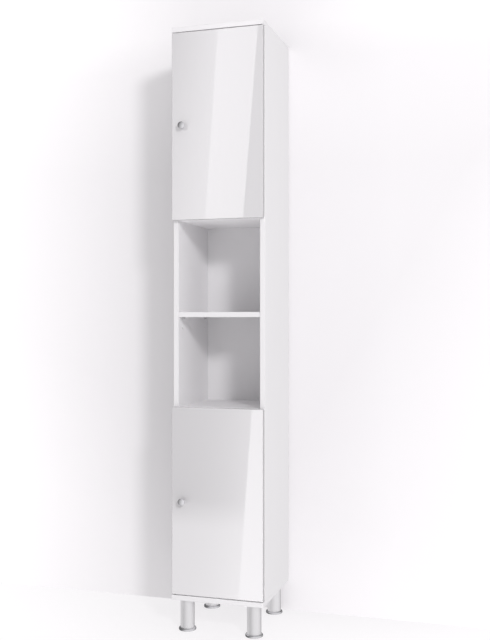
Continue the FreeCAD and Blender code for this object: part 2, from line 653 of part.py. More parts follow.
def hinge_cup(label, z):
    """The pressed cup with its flange and wings, and inside it the two cheeks that hold the pin."""
    body = new_body(label, hinge_x, hinge_y, z)
    wings = sketch_on(body, label + "_wings", "XZ_Plane", f"(-{mouth})")
    rectangle(wings, f"({wing_x} - Dims.wing_width / 2)", "(-Dims.wing_reach)",
              f"({wing_x} + Dims.wing_width / 2)", "Dims.wing_reach")
    pad(body, wings, "Dims.cup_flange", label + "_wing_plate", back=True)
    disc = circles(sketch_on(body, label + "_flange", "XZ_Plane", f"(-{mouth})"), [(cup_x, "0")],
                   "(Dims.cup_radius + Dims.cup_flange_rim)")
    pad(body, disc, "Dims.cup_flange", label + "_flange_disc", back=True)
    shell = circles(sketch_on(body, label + "_shell", "XZ_Plane", f"(-{mouth})"), [(cup_x, "0")],
                    "Dims.cup_radius")
    pad(body, shell, "Dims.cup_depth", label + "_cup")
    hollow = circles(sketch_on(body, label + "_hollow", "XZ_Plane", f"(-{mouth} - Dims.cup_flange)"),
                     [(cup_x, "0")], "(Dims.cup_radius - Dims.cup_wall)")
    pocket(body, hollow, "(Dims.cup_depth + Dims.cup_flange - Dims.cup_wall)", label + "_inside", ahead=True)
    for side, low, high in (("lower", f"(-{cheek_outer})", f"(-{cheek_inner})"),
                            ("upper", cheek_inner, cheek_outer)):
        cheek = sketch_on(body, f"{label}_{side}_cheek_outline", "YZ_Plane", "(-Dims.knuckle_radius)")
        rectangle(cheek, f"({cup_floor} + Dims.cup_wall / 2)", low, "Dims.knuckle_radius", high)
        pad(body, cheek, "(Dims.knuckle_radius + Dims.cheek_margin)", f"{label}_{side}_cheek")
    pin_hole = circles(sketch_on(body, label + "_pin_outline", "XY_Plane"), [("0", "0")],
                       "(Dims.hinge_pin_radius + Dims.hinge_pin_fit)")
    pocket(body, pin_hole, "(2 * Dims.hinge_pin_half)", label + "_pin_hole", middle=True)
    drill(body, label + "_screw_holes", "XZ_Plane", f"(-{mouth})",
          [(wing_x, f"({sign} * Dims.cup_screw_reach)") for sign in (-1, 1)],
          small_hole, "Dims.cup_flange")
    return body


def hinge_arm(label, z):
    """The arm: a channel over the rail, and a neck that hooks into the cup and ends in the knuckle."""
    body = new_body(label, hinge_x, hinge_y, z)
    channel = sketch_on(body, label + "_channel_section", "XZ_Plane",
                        f"(-{rail_start_y} + Dims.arm_overhang)")
    flange_tip = f"({rail_top_x} + Dims.arm_flange)"
    inner = f"({arm_half} - Dims.arm_sheet)"
    outline(channel, [
        (web_x, f"(-{arm_half})"), (flange_tip, f"(-{arm_half})"), (flange_tip, f"(-{inner})"),
        (rail_top_x, f"(-{inner})"), (rail_top_x, inner), (flange_tip, inner),
        (flange_tip, arm_half), (web_x, arm_half),
    ])
    pad(body, channel, f"({arm_end_y} - {rail_start_y} + Dims.arm_overhang)", label + "_channel", back=True)
    neck = sketch_on(body, label + "_neck_outline", "XY_Plane")
    lower = "(Dims.neck_offset - Dims.neck_thickness)"
    upper = "Dims.neck_offset"
    inside = f"({web_x} + Dims.neck_thickness)"
    outer_bend = "(Dims.neck_bend + Dims.neck_thickness)"
    neck_end = f"({rail_start_y} - Dims.neck_gap)"
    outline(neck, [
        ("0", lower), ("0", upper), (f"({inside} + Dims.neck_bend)", upper),
        (inside, f"({upper} + Dims.neck_bend)"), (inside, neck_end), (web_x, neck_end),
        (web_x, f"({lower} + {outer_bend})"), (f"({web_x} + {outer_bend})", lower),
    ], arcs={2: f"(-{quarter('Dims.neck_bend')})", 6: quarter(outer_bend)})
    pad(body, neck, "(2 * Dims.knuckle_half)", label + "_neck", middle=True)
    knuckle = circles(sketch_on(body, label + "_knuckle_outline", "XY_Plane"), [("0", "0")],
                      "Dims.knuckle_radius")
    pad(body, knuckle, "(2 * Dims.knuckle_half)", label + "_knuckle", middle=True)
    bore = circles(sketch_on(body, label + "_bore_outline", "XY_Plane"), [("0", "0")],
                   "(Dims.hinge_pin_radius + Dims.running_clearance)")
    pocket(body, bore, "(2 * Dims.knuckle_half)", label + "_bore", middle=True)
    screws = circles(sketch_on(body, label + "_screw_centres", "YZ_Plane", rail_top_x),
                     [(front_screw_y, "0"), (rear_screw_y, "0")],
                     "(Dims.arm_screw_radius + 2 * Dims.hole_clearance)")
    pocket(body, screws, "(Dims.arm_sheet + Dims.neck_thickness)", label + "_screw_holes")
    return body


def mounting_plate(label, z):
    """The plate on the side panel: two wings with their screw holes and a rail that carries the arm."""
    body = new_body(label, hinge_x, hinge_y, z)
    wings = sketch_on(body, label + "_wings", "YZ_Plane", panel_face_x)
    half = "(Dims.plate_wing_width / 2)"
    rectangle(wings, f"({plate_middle_y} - {half})", "(-Dims.plate_wing_half)",
              f"({plate_middle_y} + {half})", "Dims.plate_wing_half")
    plate = pad(body, wings, "Dims.plate_base", label + "_wing_plate", back=True)
    round_edges(body, plate, "Dims.plate_corner", label + "_wing_corners",
                lambda edge: edge.BoundBox.XLength > max(edge.BoundBox.YLength, edge.BoundBox.ZLength))
    rail = sketch_on(body, label + "_rail_outline", "YZ_Plane", panel_face_x)
    rectangle(rail, rail_start_y, "(-Dims.rail_half)", rail_end_y, "Dims.rail_half")
    pad(body, rail, "Dims.plate_height", label + "_rail", back=True)
    drill(body, label + "_screw_holes", "YZ_Plane", panel_face_x,
          [(plate_middle_y, f"({sign} * {plate_screw_half})") for sign in (-1, 1)],
          small_hole, "Dims.plate_base")
    drill(body, label + "_arm_screw_holes", "YZ_Plane", rail_top_x,
          [(front_screw_y, "0"), (rear_screw_y, "0")],
          "(Dims.arm_screw_radius + Dims.hole_clearance)", "(Dims.arm_screw_depth + Dims.hole_end)",
          ahead=True)
    return body


for (door, end), z in hinge_heights.items():
    hinge_cup(f"{door}_door_{end}_hinge_cup", z)
    hinge_arm(f"{door}_door_{end}_hinge_arm", z)
    mounting_plate(f"{door}_door_{end}_hinge_plate", z)

hinge_pin_master = master_piece("hinge_pin_master", [
    ("0", "(-Dims.hinge_pin_half)"), ("Dims.hinge_pin_radius", "(-Dims.hinge_pin_half)"),
    ("Dims.hinge_pin_radius", "Dims.hinge_pin_half"), ("0", "Dims.hinge_pin_half"),
])
screw_end = "(Dims.hole_end - Dims.small_screw_length)"
wood_screw_master = master_piece("wood_screw_master", [
    ("0", screw_end), ("Dims.small_screw_radius", f"({screw_end} + Dims.small_screw_tip)"),
    ("Dims.small_screw_radius", "0"), ("Dims.small_screw_head_radius", "0"),
    ("(Dims.small_screw_head_radius - Dims.head_chamfer)", "Dims.small_screw_head"),
    ("0", "Dims.small_screw_head"),
])
arm_screw_master = master_piece("arm_screw_master", [
    ("0", "(-Dims.arm_screw_depth - Dims.arm_sheet)"),
    ("Dims.arm_screw_radius", "(-Dims.arm_screw_depth - Dims.arm_sheet)"), ("Dims.arm_screw_radius", "0"),
    ("Dims.arm_screw_head_radius", "0"),
    ("(Dims.arm_screw_head_radius - Dims.head_chamfer)", "Dims.arm_screw_head"),
    ("0", "Dims.arm_screw_head"),
])

# ---------------------------------------------------------------- legs
tube_inner = "(Dims.leg_radius - Dims.leg_wall)"
tube_length = "(Dims.leg_height - Dims.foot_height)"
plug_fit = f"({tube_inner} - Dims.hole_clearance)"
for place_name, (x, y) in leg_places.items():
    leg_x, leg_y = f"({left} + {x})", f"({front} + {y})"
    tube = new_body(f"{place_name}_leg_tube", leg_x, leg_y, "Dims.foot_height")
    ring = sketch_on(tube, f"{place_name}_tube_ring", "XY_Plane")
    circles(ring, [("0", "0")], "Dims.leg_radius")
    pad(tube, ring, tube_length, f"{place_name}_tube_wall")
    drill(tube, f"{place_name}_tube_bore", "XY_Plane", "0", [("0", "0")], tube_inner, tube_length,
          ahead=True)

    foot = new_body(f"{place_name}_foot", leg_x, leg_y, "0")
    profile = sketch_on(foot, f"{place_name}_foot_profile", "XZ_Plane")
    rim = "(Dims.leg_radius + Dims.foot_lip)"
    outline(profile, [
        ("0", "0"), ("(Dims.foot_radius - Dims.foot_round)", "0"), ("Dims.foot_radius", "Dims.foot_round"),
        ("Dims.foot_radius", "Dims.foot_side"), (rim, "Dims.foot_height"),
        ("Dims.spindle_radius", "Dims.foot_height"),
        ("Dims.spindle_radius", "(Dims.foot_height + Dims.spindle_length)"),
        ("0", "(Dims.foot_height + Dims.spindle_length)"),
    ], arcs={1: quarter("Dims.foot_round"), 3: "Dims.foot_bulge"})
    spin(foot, profile, f"{place_name}_foot_turned")

plug_bore = "(Dims.spindle_radius + Dims.spindle_clearance)"
bottom_plug_master = master_piece("bottom_plug_master", [
    (plug_bore, "0"), (plug_fit, "0"), (plug_fit, "Dims.bottom_plug"), (plug_bore, "Dims.bottom_plug"),
])
top_plug_master = master_piece("top_plug_master", [
    ("0", "(-Dims.top_plug)"), (plug_fit, "(-Dims.top_plug)"), (plug_fit, "0"), ("Dims.stud_radius", "0"),
    ("Dims.stud_radius", "Dims.stud_length"), ("0", "Dims.stud_length"),
])
insert_bore = "(Dims.stud_radius + Dims.hole_clearance)"
insert_master = master_piece("insert_master", [
    (insert_bore, "0"), ("Dims.insert_flange_radius", "0"),
    ("Dims.insert_flange_radius", "Dims.insert_flange"),
    ("Dims.insert_radius", "Dims.insert_flange"), ("Dims.insert_radius", "Dims.insert_length"),
    (insert_bore, "Dims.insert_length"),
])

# ---------------------------------------------------------------- panel fittings
bolt_length = "(Dims.cam_distance + Dims.bolt_past_cam)"
cam_master = doc.addObject("PartDesign::Body", "cam_master")
cam_disc = circles(sketch_on(cam_master, "cam_outline", "XY_Plane", half_board),
                   [("Dims.cam_distance", "0")], "Dims.cam_radius")
pad(cam_master, cam_disc, "Dims.cam_length", "cam_drum", back=True)
cam_slot = sketch_on(cam_master, "cam_slot_outline", "YZ_Plane", "(Dims.cam_distance - Dims.cam_radius)")
slot_half = "(Dims.bolt_radius + Dims.slot_clearance)"
rectangle(cam_slot, f"(-{slot_half})", f"(-{slot_half})", slot_half, slot_half)
pocket(cam_master, cam_slot, "(Dims.cam_radius + Dims.bolt_past_cam + Dims.slot_clearance)", "cam_slot",
       ahead=True)
bolt_master = master_piece("bolt_master", [
    ("0", "(-Dims.bolt_thread_length)"), ("Dims.bolt_thread_radius", "(-Dims.bolt_thread_length)"),
    ("Dims.bolt_thread_radius", "0"), ("Dims.bolt_radius", "0"), ("Dims.bolt_radius", bolt_length),
    ("0", bolt_length),
])
dowel_tip = "(Dims.dowel_radius - Dims.dowel_chamfer)"
dowel_master = master_piece("dowel_master", [
    ("0", "(-Dims.dowel_in_face)"), (dowel_tip, "(-Dims.dowel_in_face)"),
    ("Dims.dowel_radius", "(Dims.dowel_chamfer - Dims.dowel_in_face)"),
    ("Dims.dowel_radius", "(Dims.dowel_in_edge - Dims.dowel_chamfer)"),
    (dowel_tip, "Dims.dowel_in_edge"), ("0", "Dims.dowel_in_edge"),
])
bumper_height = "(Dims.door_gap - Dims.bumper_gap)"
bumper_master = master_piece("bumper_master", [
    ("0", "0"), ("Dims.bumper_radius", "0"), ("(Dims.bumper_radius - Dims.bumper_taper)", bumper_height),
    ("0", bumper_height),
])
doc.recompute()

side_middles = [f"({left} + {half_board})", f"({right} - {half_board})"]
side_faces = [f"({left} + Dims.board)", f"({right} - Dims.board)"]
joints = []
for x, inward in zip(side_middles, (axis_x, -axis_x)):
    joints.append((x, side_bottom, axis_z, inward))
    joints.append((x, "(Dims.height - Dims.board)", -axis_z, inward))
for label, z in fixed_panels.items():
    cam_side = -axis_z if label == "niche_floor_panel" else axis_z
    for x, inward in zip(side_faces, (axis_x, -axis_x)):
        joints.append((x, f"({z} + {half_board})", inward, cam_side))


def along_sides(depth):
    return f"({side_front} + {depth})"


def turned_to(direction):
    """A rotation that takes the local z axis to a direction."""
    return FreeCAD.Rotation(axis_z, direction)


group("cam_locks", cam_master, [at(x, along_sides(depth), z, facing(into, cam_side))
                                for x, z, into, cam_side in joints for depth in fitting_depths])
group("cam_bolts", bolt_master, [at(x, along_sides(depth), z, turned_to(into))
                                 for x, z, into, _ in joints for depth in fitting_depths])
group("wood_dowels", dowel_master, [at(x, along_sides("Dims.dowel_place"), z, turned_to(into))
                                    for x, z, into, _ in joints])
for place_name, z in shelf_heights.items():
    group(f"{place_name}_shelf_pins", pin_master,
          [at(x, along_sides(depth), f"({z} - Dims.pin_head_radius)", turned_to(inward))
           for x, inward in zip(side_faces, (axis_x, -axis_x)) for depth in shelf_pin_depths])
group("door_bumpers", bumper_master,
      [at(side_middles[0], side_front, f"({bottom} + {offset})", turned_to(-axis_y))
       for bottom in door_bottoms.values()
       for offset in ("Dims.bumper_inset", f"{section} - Dims.bumper_inset")])

# ---------------------------------------------------------------- small hinge pieces
for door in door_bottoms:
    heights = [hinge_heights[door, end] for end in ("bottom", "top")]
    group(f"{door}_door_hinge_pins", hinge_pin_master, [at(hinge_x, hinge_y, z) for z in heights])
    group(f"{door}_door_cup_screws", wood_screw_master,
          [at(f"({hinge_x} + {wing_x})", f"({door_rear} + Dims.cup_flange)",
              f"({z} + {sign} * Dims.cup_screw_reach)", turned_to(axis_y))
           for z in heights for sign in (-1, 1)])
group("hinge_plate_screws", wood_screw_master,
      [at(f"({side_faces[1]} - Dims.plate_base)", along_sides("Dims.plate_inset"),
          f"({z} + {sign} * {plate_screw_half})", turned_to(-axis_x))
       for z in hinge_heights.values() for sign in (-1, 1)])
group("hinge_arm_screws", arm_screw_master,
      [at(f"({hinge_x} + {web_x})", f"({hinge_y} + {y})", z, turned_to(-axis_x))
       for z in hinge_heights.values() for y in (front_screw_y, rear_screw_y)])

# ---------------------------------------------------------------- small leg pieces
leg_spots = [(f"({left} + {x})", f"({front} + {y})") for x, y in leg_places.values()]
group("leg_bottom_plugs", bottom_plug_master, [at(x, y, "Dims.foot_height") for x, y in leg_spots])
group("leg_top_plugs", top_plug_master, [at(x, y, "Dims.leg_height") for x, y in leg_spots])
group("leg_inserts", insert_master, [at(x, y, "Dims.leg_height") for x, y in leg_spots])

# ---------------------------------------------------------------- wall brackets
bracket_master = doc.addObject("PartDesign::Body", "bracket_master")
bracket_angle = outline(sketch_on(bracket_master, "bracket_section", "YZ_Plane"), [
    ("0", "0"), ("0", "(-Dims.bracket_leg)"), ("(-Dims.bracket_sheet)", "(-Dims.bracket_leg)"),
    ("(-Dims.bracket_sheet)", "(-Dims.bracket_sheet)"), ("(-Dims.bracket_leg)", "(-Dims.bracket_sheet)"),
    ("(-Dims.bracket_leg)", "0"),
])
pad(bracket_master, bracket_angle, "Dims.bracket_width", "bracket_angle", middle=True)
drill(bracket_master, "bracket_wall_hole", "XZ_Plane", "0", [("0", "(-Dims.bracket_hole_drop)")],
      "Dims.bracket_hole_radius", "Dims.bracket_sheet", ahead=True)
drill(bracket_master, "bracket_screw_hole", "XY_Plane", "0", [("0", "(-Dims.bracket_screw_reach)")],
      small_hole, "Dims.bracket_sheet")
doc.recompute()
under_top = "(Dims.height - Dims.board)"
group("wall_brackets", bracket_master, [at(x, back_front, under_top) for x in bracket_middles])
group("wall_bracket_screws", wood_screw_master,
      [at(x, bracket_screw_y, f"({under_top} - Dims.bracket_sheet)", turned_to(-axis_z))
       for x in bracket_middles])
doc.recompute()

# ---------------------------------------------------------------- checks and files
for item in doc.Objects:
    bad = [state for state in item.State if state in ("Invalid", "Error")]
    if bad:
        raise RuntimeError(f"{item.Name} is {bad}")
    if item.TypeId == "PartDesign::Pocket":
        before, after = item.BaseFeature.Shape.Volume, item.Shape.Volume
        if before - after < LEAST_CUT:
            raise RuntimeError(f"{item.Name} cuts nothing")
for item in nodes:
    shape = item.Shape
    if shape.isNull() or not shape.isValid() or not shape.Solids:
        raise RuntimeError(f"{item.Label} has no valid solid")
    shape.exportStep(f"parts/{item.Label}.step")
print(len(nodes), "nodes,", sum(len(item.Shape.Solids) for item in nodes), "solids")
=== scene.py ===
import bpy
import bmesh
import json
import math
from mathutils import Matrix, Vector


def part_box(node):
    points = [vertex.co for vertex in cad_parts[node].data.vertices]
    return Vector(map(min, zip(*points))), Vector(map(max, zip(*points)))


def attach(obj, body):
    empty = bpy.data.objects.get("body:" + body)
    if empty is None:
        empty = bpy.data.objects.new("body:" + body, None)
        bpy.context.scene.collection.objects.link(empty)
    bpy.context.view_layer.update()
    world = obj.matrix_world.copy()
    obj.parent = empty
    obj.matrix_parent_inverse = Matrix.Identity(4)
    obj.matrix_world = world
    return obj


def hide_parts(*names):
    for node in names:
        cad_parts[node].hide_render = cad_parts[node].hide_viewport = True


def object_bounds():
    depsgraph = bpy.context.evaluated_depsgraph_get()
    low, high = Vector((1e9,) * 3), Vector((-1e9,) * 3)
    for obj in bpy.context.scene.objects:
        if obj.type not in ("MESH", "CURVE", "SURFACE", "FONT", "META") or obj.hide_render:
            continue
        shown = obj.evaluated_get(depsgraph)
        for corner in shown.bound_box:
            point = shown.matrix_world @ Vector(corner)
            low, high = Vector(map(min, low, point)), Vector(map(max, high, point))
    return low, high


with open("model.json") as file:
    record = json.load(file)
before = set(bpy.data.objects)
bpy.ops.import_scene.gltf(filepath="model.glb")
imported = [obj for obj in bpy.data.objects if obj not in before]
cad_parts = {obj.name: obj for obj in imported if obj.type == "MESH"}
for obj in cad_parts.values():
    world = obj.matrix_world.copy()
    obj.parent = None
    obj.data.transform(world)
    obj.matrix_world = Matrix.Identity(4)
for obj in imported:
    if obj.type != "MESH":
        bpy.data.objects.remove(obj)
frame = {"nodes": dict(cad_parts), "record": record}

cad_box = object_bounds()
nodes = frame["nodes"]
slot_of = {subpart["node"]: subpart["material_slot"] for subpart in frame["record"]["subparts"]}
body_of = {name: body for body, names in frame["record"]["behaviour"]["bodies"].items() for name in names}

# All lengths are in metres.

# ---------------------------------------------------------------- places read from the frame
door_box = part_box("upper_door")
door_front, door_rear = door_box[0].y, door_box[1].y
back_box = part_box("back_panel")
back_middle = (back_box[0].y + back_box[1].y) / 2
tube_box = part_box("front_left_leg_tube")
tube_radius = (tube_box[1].x - tube_box[0].x) / 2
foot_height = tube_box[0].z
cabinet_middle = (cad_box[0].z + cad_box[1].z) / 2
X, Y, Z = Vector((1, 0, 0)), Vector((0, 1, 0)), Vector((0, 0, 1))
LEGS = [f"{end}_{side}" for end in ("front", "rear") for side in ("left", "right")]
DOORS = ("upper", "lower")
BOARDS = ("top_panel", "bottom_panel", "left_side_panel", "right_side_panel", "niche_floor_panel",
          "niche_ceiling_panel", "niche_shelf", "upper_inner_shelf", "lower_inner_shelf")


# ---------------------------------------------------------------- material helpers
def node(tree, kind, inputs=None, **settings):
    """One shader node. A socket among the inputs is linked, anything else is set."""
    made = tree.nodes.new(kind)
    for name, value in settings.items():
        setattr(made, name, value)
    for name, value in (inputs or {}).items():
        if isinstance(value, bpy.types.NodeSocket):
            tree.links.new(value, made.inputs[name])
        else:
            made.inputs[name].default_value = value
    return made


def blank_material(name):
    """A material without nodes, and its node tree."""
    made = bpy.data.materials.new(name)
    made.use_nodes = True
    made.node_tree.nodes.clear()
    return made, made.node_tree


def stretched(tree, scale=(1, 1, 1)):
    """The piece's own coordinates, stretched by a scale for each axis."""
    place = node(tree, "ShaderNodeTexCoord").outputs["Object"]
    return node(tree, "ShaderNodeMapping", {"Vector": place, "Scale": scale}).outputs["Vector"]


def along(tree, axis):
    """The piece's own coordinate along one axis."""
    return node(tree, "ShaderNodeSeparateXYZ", {0: stretched(tree)}).outputs[axis]


def maths(tree, operation, first, second=0.0):
    return node(tree, "ShaderNodeMath", {0: first, 1: second}, operation=operation).outputs[0]


def dot(tree, vector, way):
    """How far a vector reaches along a way."""
    return node(tree, "ShaderNodeVectorMath", {0: vector, 1: way}, operation="DOT_PRODUCT").outputs["Value"]


def noise(tree, waves, detail=2.0, roughness=0.5, stretch=(1, 1, 1)):
    """A noise of so many waves a metre."""
    made = node(tree, "ShaderNodeTexNoise", {"Vector": stretched(tree, stretch), "Scale": waves,
                                             "Detail": detail, "Roughness": roughness})
    return made.outputs["Fac"]


def ramp(tree, value, low, high, start=0, end=1):
    """Maps a value from start to end onto the range from low to high, and keeps it in that range."""
    made = node(tree, "ShaderNodeMapRange", {"Value": value, "From Min": start, "From Max": end,
                                             "To Min": low, "To Max": high})
    return made.outputs["Result"]


def blend(tree, factor, first, second):
    """A mix of two colours, each of them three numbers or a socket."""
    made = node(tree, "ShaderNodeMix", {"Factor": factor}, data_type="RGBA")
    for socket, colour in zip([s for s in made.inputs if s.type == "RGBA"], (first, second)):
        if isinstance(colour, bpy.types.NodeSocket):
            tree.links.new(colour, socket)
        else:
            socket.default_value = (*colour, 1)
    return next(s for s in made.outputs if s.type == "RGBA")


def bump(tree, height, depth):
    """A bump of the given depth."""
    return node(tree, "ShaderNodeBump", {"Height": height, "Distance": depth}).outputs["Normal"]


def mottled(tree, mottle):
    """A colour that wavers. A mottle is its waves a metre and the two colours at its ends."""
    waves, first, second = mottle
    return blend(tree, noise(tree, waves), first, second)


def uneven(tree, spread):
    """A value that wavers. A spread is its waves a metre, its lowest and its highest value."""
    waves, low, high = spread
    return ramp(tree, noise(tree, waves), low, high)


def principled(tree, **inputs):
    """The surface itself, with words joined by underscores for the names of its sockets."""
    values = {name.replace("_", " ").title().replace("Ior", "IOR"): value
              for name, value in inputs.items()}
    surface = node(tree, "ShaderNodeBsdfPrincipled", values)
    node(tree, "ShaderNodeOutputMaterial", {"Surface": surface.outputs["BSDF"]})
    return surface


# ---------------------------------------------------------------- materials
FINE_DETAIL = 4

SKIN = 0.0006                   # the lacquer ends so far in front of the door's rear face
# The lacquer colour is darker than the satin and board colours: painted shade, so that the door fronts look
# less lit than the white sides.
LACQUER_WITH_PAINTED_SHADE = (3, (0.636, 0.627, 0.638), (0.651, 0.641, 0.653))
LACQUER_ROUGHNESS = (40, 0.4, 0.5)
LACQUER_SPECULAR = 0.3
COAT_ROUGHNESS = 0.015
COAT_IOR = 1.6
PEEL_WAVES = 260
PEEL_DEPTH = 0.00002
SATIN = (5, (0.83, 0.822, 0.832), (0.85, 0.842, 0.852))

BANDING = 0.001
GLUE_LINE = 0.00012             # half the width of the line behind the banding
GLUE = (0.66, 0.65, 0.65)
BOARD = (5, (0.85, 0.841, 0.852), (0.87, 0.861, 0.872))
BOARD_ROUGHNESS = (60, 0.42, 0.5)
PEARL_WAVES = 1400
PEARL_DETAIL = 3
PEARL_DEPTH = 0.00004
BAND_GLOSS = 0.25
BAND_ROUGHNESS = 0.03

BACK = (6, (0.84, 0.835, 0.845), (0.86, 0.855, 0.865))
BACK_ROUGHNESS = (0.5, 0.85)    # in front, behind
FIBRE_WAVES = 420
FIBRE_DETAIL = 6
FIBRE_ROUGHNESS = 0.7
FIBRE = ((0.25, 0.165, 0.1), (0.4, 0.29, 0.19))
MESH_TURNS = 3100.0             # radians a metre: a mesh print of about 2 mm
RELIEF_WAVES = 900
RELIEF_DEPTH = 0.00006

CHROME_WAVES = 60
CHROME_SHADE = 0.94
WEAR_WAVES = 900
WEAR_STRETCH = (1, 1, 6)
BRUSHED_SHADE = 0.9
BRUSHED_DEPTH = 0.00001
MOULD_WAVES = 200
MOULD_GRAIN = 2500
MOULD_DEPTH = 0.00003
BEECH_WAVES = 40
BEECH_DETAIL = 5
BEECH_STRETCH = (12, 12, 1)
BEECH = ((0.55, 0.38, 0.22), (0.74, 0.56, 0.36))
BEECH_ROUGHNESS = 0.6
BEECH_DEPTH = 0.0001


def gloss_lacquer():
    """Lacquer on the door's front and edges, in a darker colour that is painted shade, and a plain satin face
    behind.
    """
    made, tree = blank_material("gloss_white")
    front = maths(tree, "LESS_THAN", along(tree, "Y"), door_rear - SKIN)
    # the lacquer colour is painted shade: darker than the satin face behind
    colour = blend(tree, front, mottled(tree, SATIN), mottled(tree, LACQUER_WITH_PAINTED_SHADE))
    peel = bump(tree, noise(tree, PEEL_WAVES), PEEL_DEPTH)
    principled(tree, base_color=colour, roughness=uneven(tree, LACQUER_ROUGHNESS), normal=peel,
               specular_ior_level=LACQUER_SPECULAR, coat_weight=front, coat_roughness=COAT_ROUGHNESS,
               coat_ior=COAT_IOR)
    return made


def banded_board(label, front, glossy_band):
    """White faced board. A glue line shows behind the banding on its front edge."""
    made, tree = blank_material(f"board_{label}")
    depth = maths(tree, "SUBTRACT", along(tree, "Y"), front + BANDING)
    glue = maths(tree, "LESS_THAN", maths(tree, "ABSOLUTE", depth), GLUE_LINE)
    pearl = bump(tree, noise(tree, PEARL_WAVES, PEARL_DETAIL), PEARL_DEPTH)
    surface = principled(tree, base_color=blend(tree, glue, mottled(tree, BOARD), GLUE),
                         roughness=uneven(tree, BOARD_ROUGHNESS), normal=pearl)
    if glossy_band:
        surface.inputs["Coat Roughness"].default_value = BAND_ROUGHNESS
        lacquered = maths(tree, "MULTIPLY", maths(tree, "LESS_THAN", depth, 0.0), BAND_GLOSS)
        tree.links.new(lacquered, surface.inputs["Coat Weight"])
    return made


def back_board():
    """Hardboard with a white face towards the inside and a bare, meshed face behind."""
    made, tree = blank_material("back_board")
    behind = maths(tree, "GREATER_THAN", along(tree, "Y"), back_middle)
    fibre = blend(tree, noise(tree, FIBRE_WAVES, FIBRE_DETAIL, FIBRE_ROUGHNESS), *FIBRE)
    across, upwards = (maths(tree, "SINE", maths(tree, "MULTIPLY", along(tree, axis), MESH_TURNS))
                       for axis in ("X", "Z"))
    mesh = maths(tree, "MULTIPLY", maths(tree, "MULTIPLY", across, upwards), behind)
    relief = maths(tree, "ADD", noise(tree, RELIEF_WAVES, FINE_DETAIL), mesh)
    principled(tree, base_color=blend(tree, behind, mottled(tree, BACK), fibre),
               roughness=ramp(tree, behind, *BACK_ROUGHNESS), normal=bump(tree, relief, RELIEF_DEPTH))
    return made


def polished_chrome(name, tint, low, high):
    """Plated metal, worn a little, with a roughness from low to high."""
    made, tree = blank_material(name)
    tone = mottled(tree, (CHROME_WAVES, tint, [value * CHROME_SHADE for value in tint]))
    wear = ramp(tree, noise(tree, WEAR_WAVES, FINE_DETAIL, stretch=WEAR_STRETCH), low, high)
    principled(tree, base_color=tone, metallic=1.0, roughness=wear)
    return made


def brushed_metal(name, tint, waves, low, high, depth=BRUSHED_DEPTH, metallic=1.0):
    """Metal with a grain of so many waves a metre along each axis, and a roughness from low to high."""
    made, tree = blank_material(name)
    grain = noise(tree, 1, FINE_DETAIL, stretch=waves)
    tone = blend(tree, grain, tint, [value * BRUSHED_SHADE for value in tint])
    principled(tree, base_color=tone, metallic=metallic, roughness=ramp(tree, grain, low, high),
               normal=bump(tree, grain, depth))
    return made


def moulded(name, dark, light, roughness):
    """Plastic or rubber with a fine moulded grain."""
    made, tree = blank_material(name)
    principled(tree, base_color=mottled(tree, (MOULD_WAVES, dark, light)), roughness=roughness,
               normal=bump(tree, noise(tree, MOULD_GRAIN), MOULD_DEPTH))
    return made


def beech():
    made, tree = blank_material("beech")
    grain = noise(tree, BEECH_WAVES, BEECH_DETAIL, stretch=BEECH_STRETCH)
    principled(tree, base_color=blend(tree, grain, *BEECH), roughness=BEECH_ROUGHNESS,
               normal=bump(tree, grain, BEECH_DEPTH))
    return made


MATERIALS = {
    "gloss_front": gloss_lacquer(),
    "back_board": back_board(),
    "knob_chrome": polished_chrome("knob_chrome", (0.8, 0.8, 0.82), 0.14, 0.22),
    "foot_chrome": polished_chrome("foot_chrome", (0.7, 0.7, 0.72), 0.08, 0.14),
    "leg_steel": brushed_metal("leg_aluminium", (0.86, 0.855, 0.865), (900, 900, 5), 0.42, 0.56,
                               metallic=0.8),
    "hinge_nickel": brushed_metal("hinge_nickel", (0.75, 0.73, 0.69), (300, 300, 300), 0.2, 0.32),
    "screw_steel": brushed_metal("screw_steel", (0.72, 0.72, 0.73), (500, 500, 500), 0.25, 0.4),
    "cam_zinc": brushed_metal("cam_zinc", (0.62, 0.62, 0.63), (900, 900, 900), 0.38, 0.55, depth=0.00005),
    "black_plastic": moulded("black_plastic", (0.02, 0.02, 0.02), (0.035, 0.035, 0.035), 0.5),
    "dowel_beech": beech(),
    "bumper_rubber": moulded("clear_rubber", (0.7, 0.7, 0.71), (0.8, 0.8, 0.81), 0.35),
}
for name, slot in slot_of.items():
    if name in BOARDS:
        finish = banded_board(name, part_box(name)[0].y, glossy_band=slot == "gloss_front")
    else:
        finish = MATERIALS[slot]
    nodes[name].data.materials.clear()
    nodes[name].data.materials.append(finish)

# ---------------------------------------------------------------- camera
EYE = Vector((0.908, door_front - 2.684, 0.98))
LENS = 51.4
SENSOR_WIDTH = 36
LOOK_TURN = math.radians(16.92)     # to the left of straight ahead

camera_data = bpy.data.cameras.new("camera")
camera_data.lens = LENS
camera_data.sensor_width = SENSOR_WIDTH
camera = bpy.data.objects.new("camera", camera_data)
camera.location = EYE
camera.rotation_euler = (math.radians(90), 0, LOOK_TURN)
bpy.context.scene.collection.objects.link(camera)
bpy.context.scene.camera = camera

# ---------------------------------------------------------------- fittings: shared steps
MERGE = 0.000001
SHARP = math.radians(34)
THREAD_ROWS = 5                 # rows of corners for each turn of a thread
SOCKET_TAPER = 0.55


def loose_parts(name):
    """The lowest and the highest corner of each separate solid in a node."""
    solid = bmesh.new()
    solid.from_mesh(nodes[name].data)
    bmesh.ops.remove_doubles(solid, verts=solid.verts, dist=MERGE)
    parts = []
    left = set(solid.verts)
    while left:
        found = [left.pop()]
        for vertex in found:
            near = {edge.other_vert(vertex) for edge in vertex.link_edges} & left
            left -= near
            found.extend(near)
        low, high = (Vector([pick(vertex.co[axis] for vertex in found) for axis in range(3)])
                     for pick in (min, max))
        parts.append((low, high))
    solid.free()
    return sorted(parts, key=lambda part: tuple(part[0]))


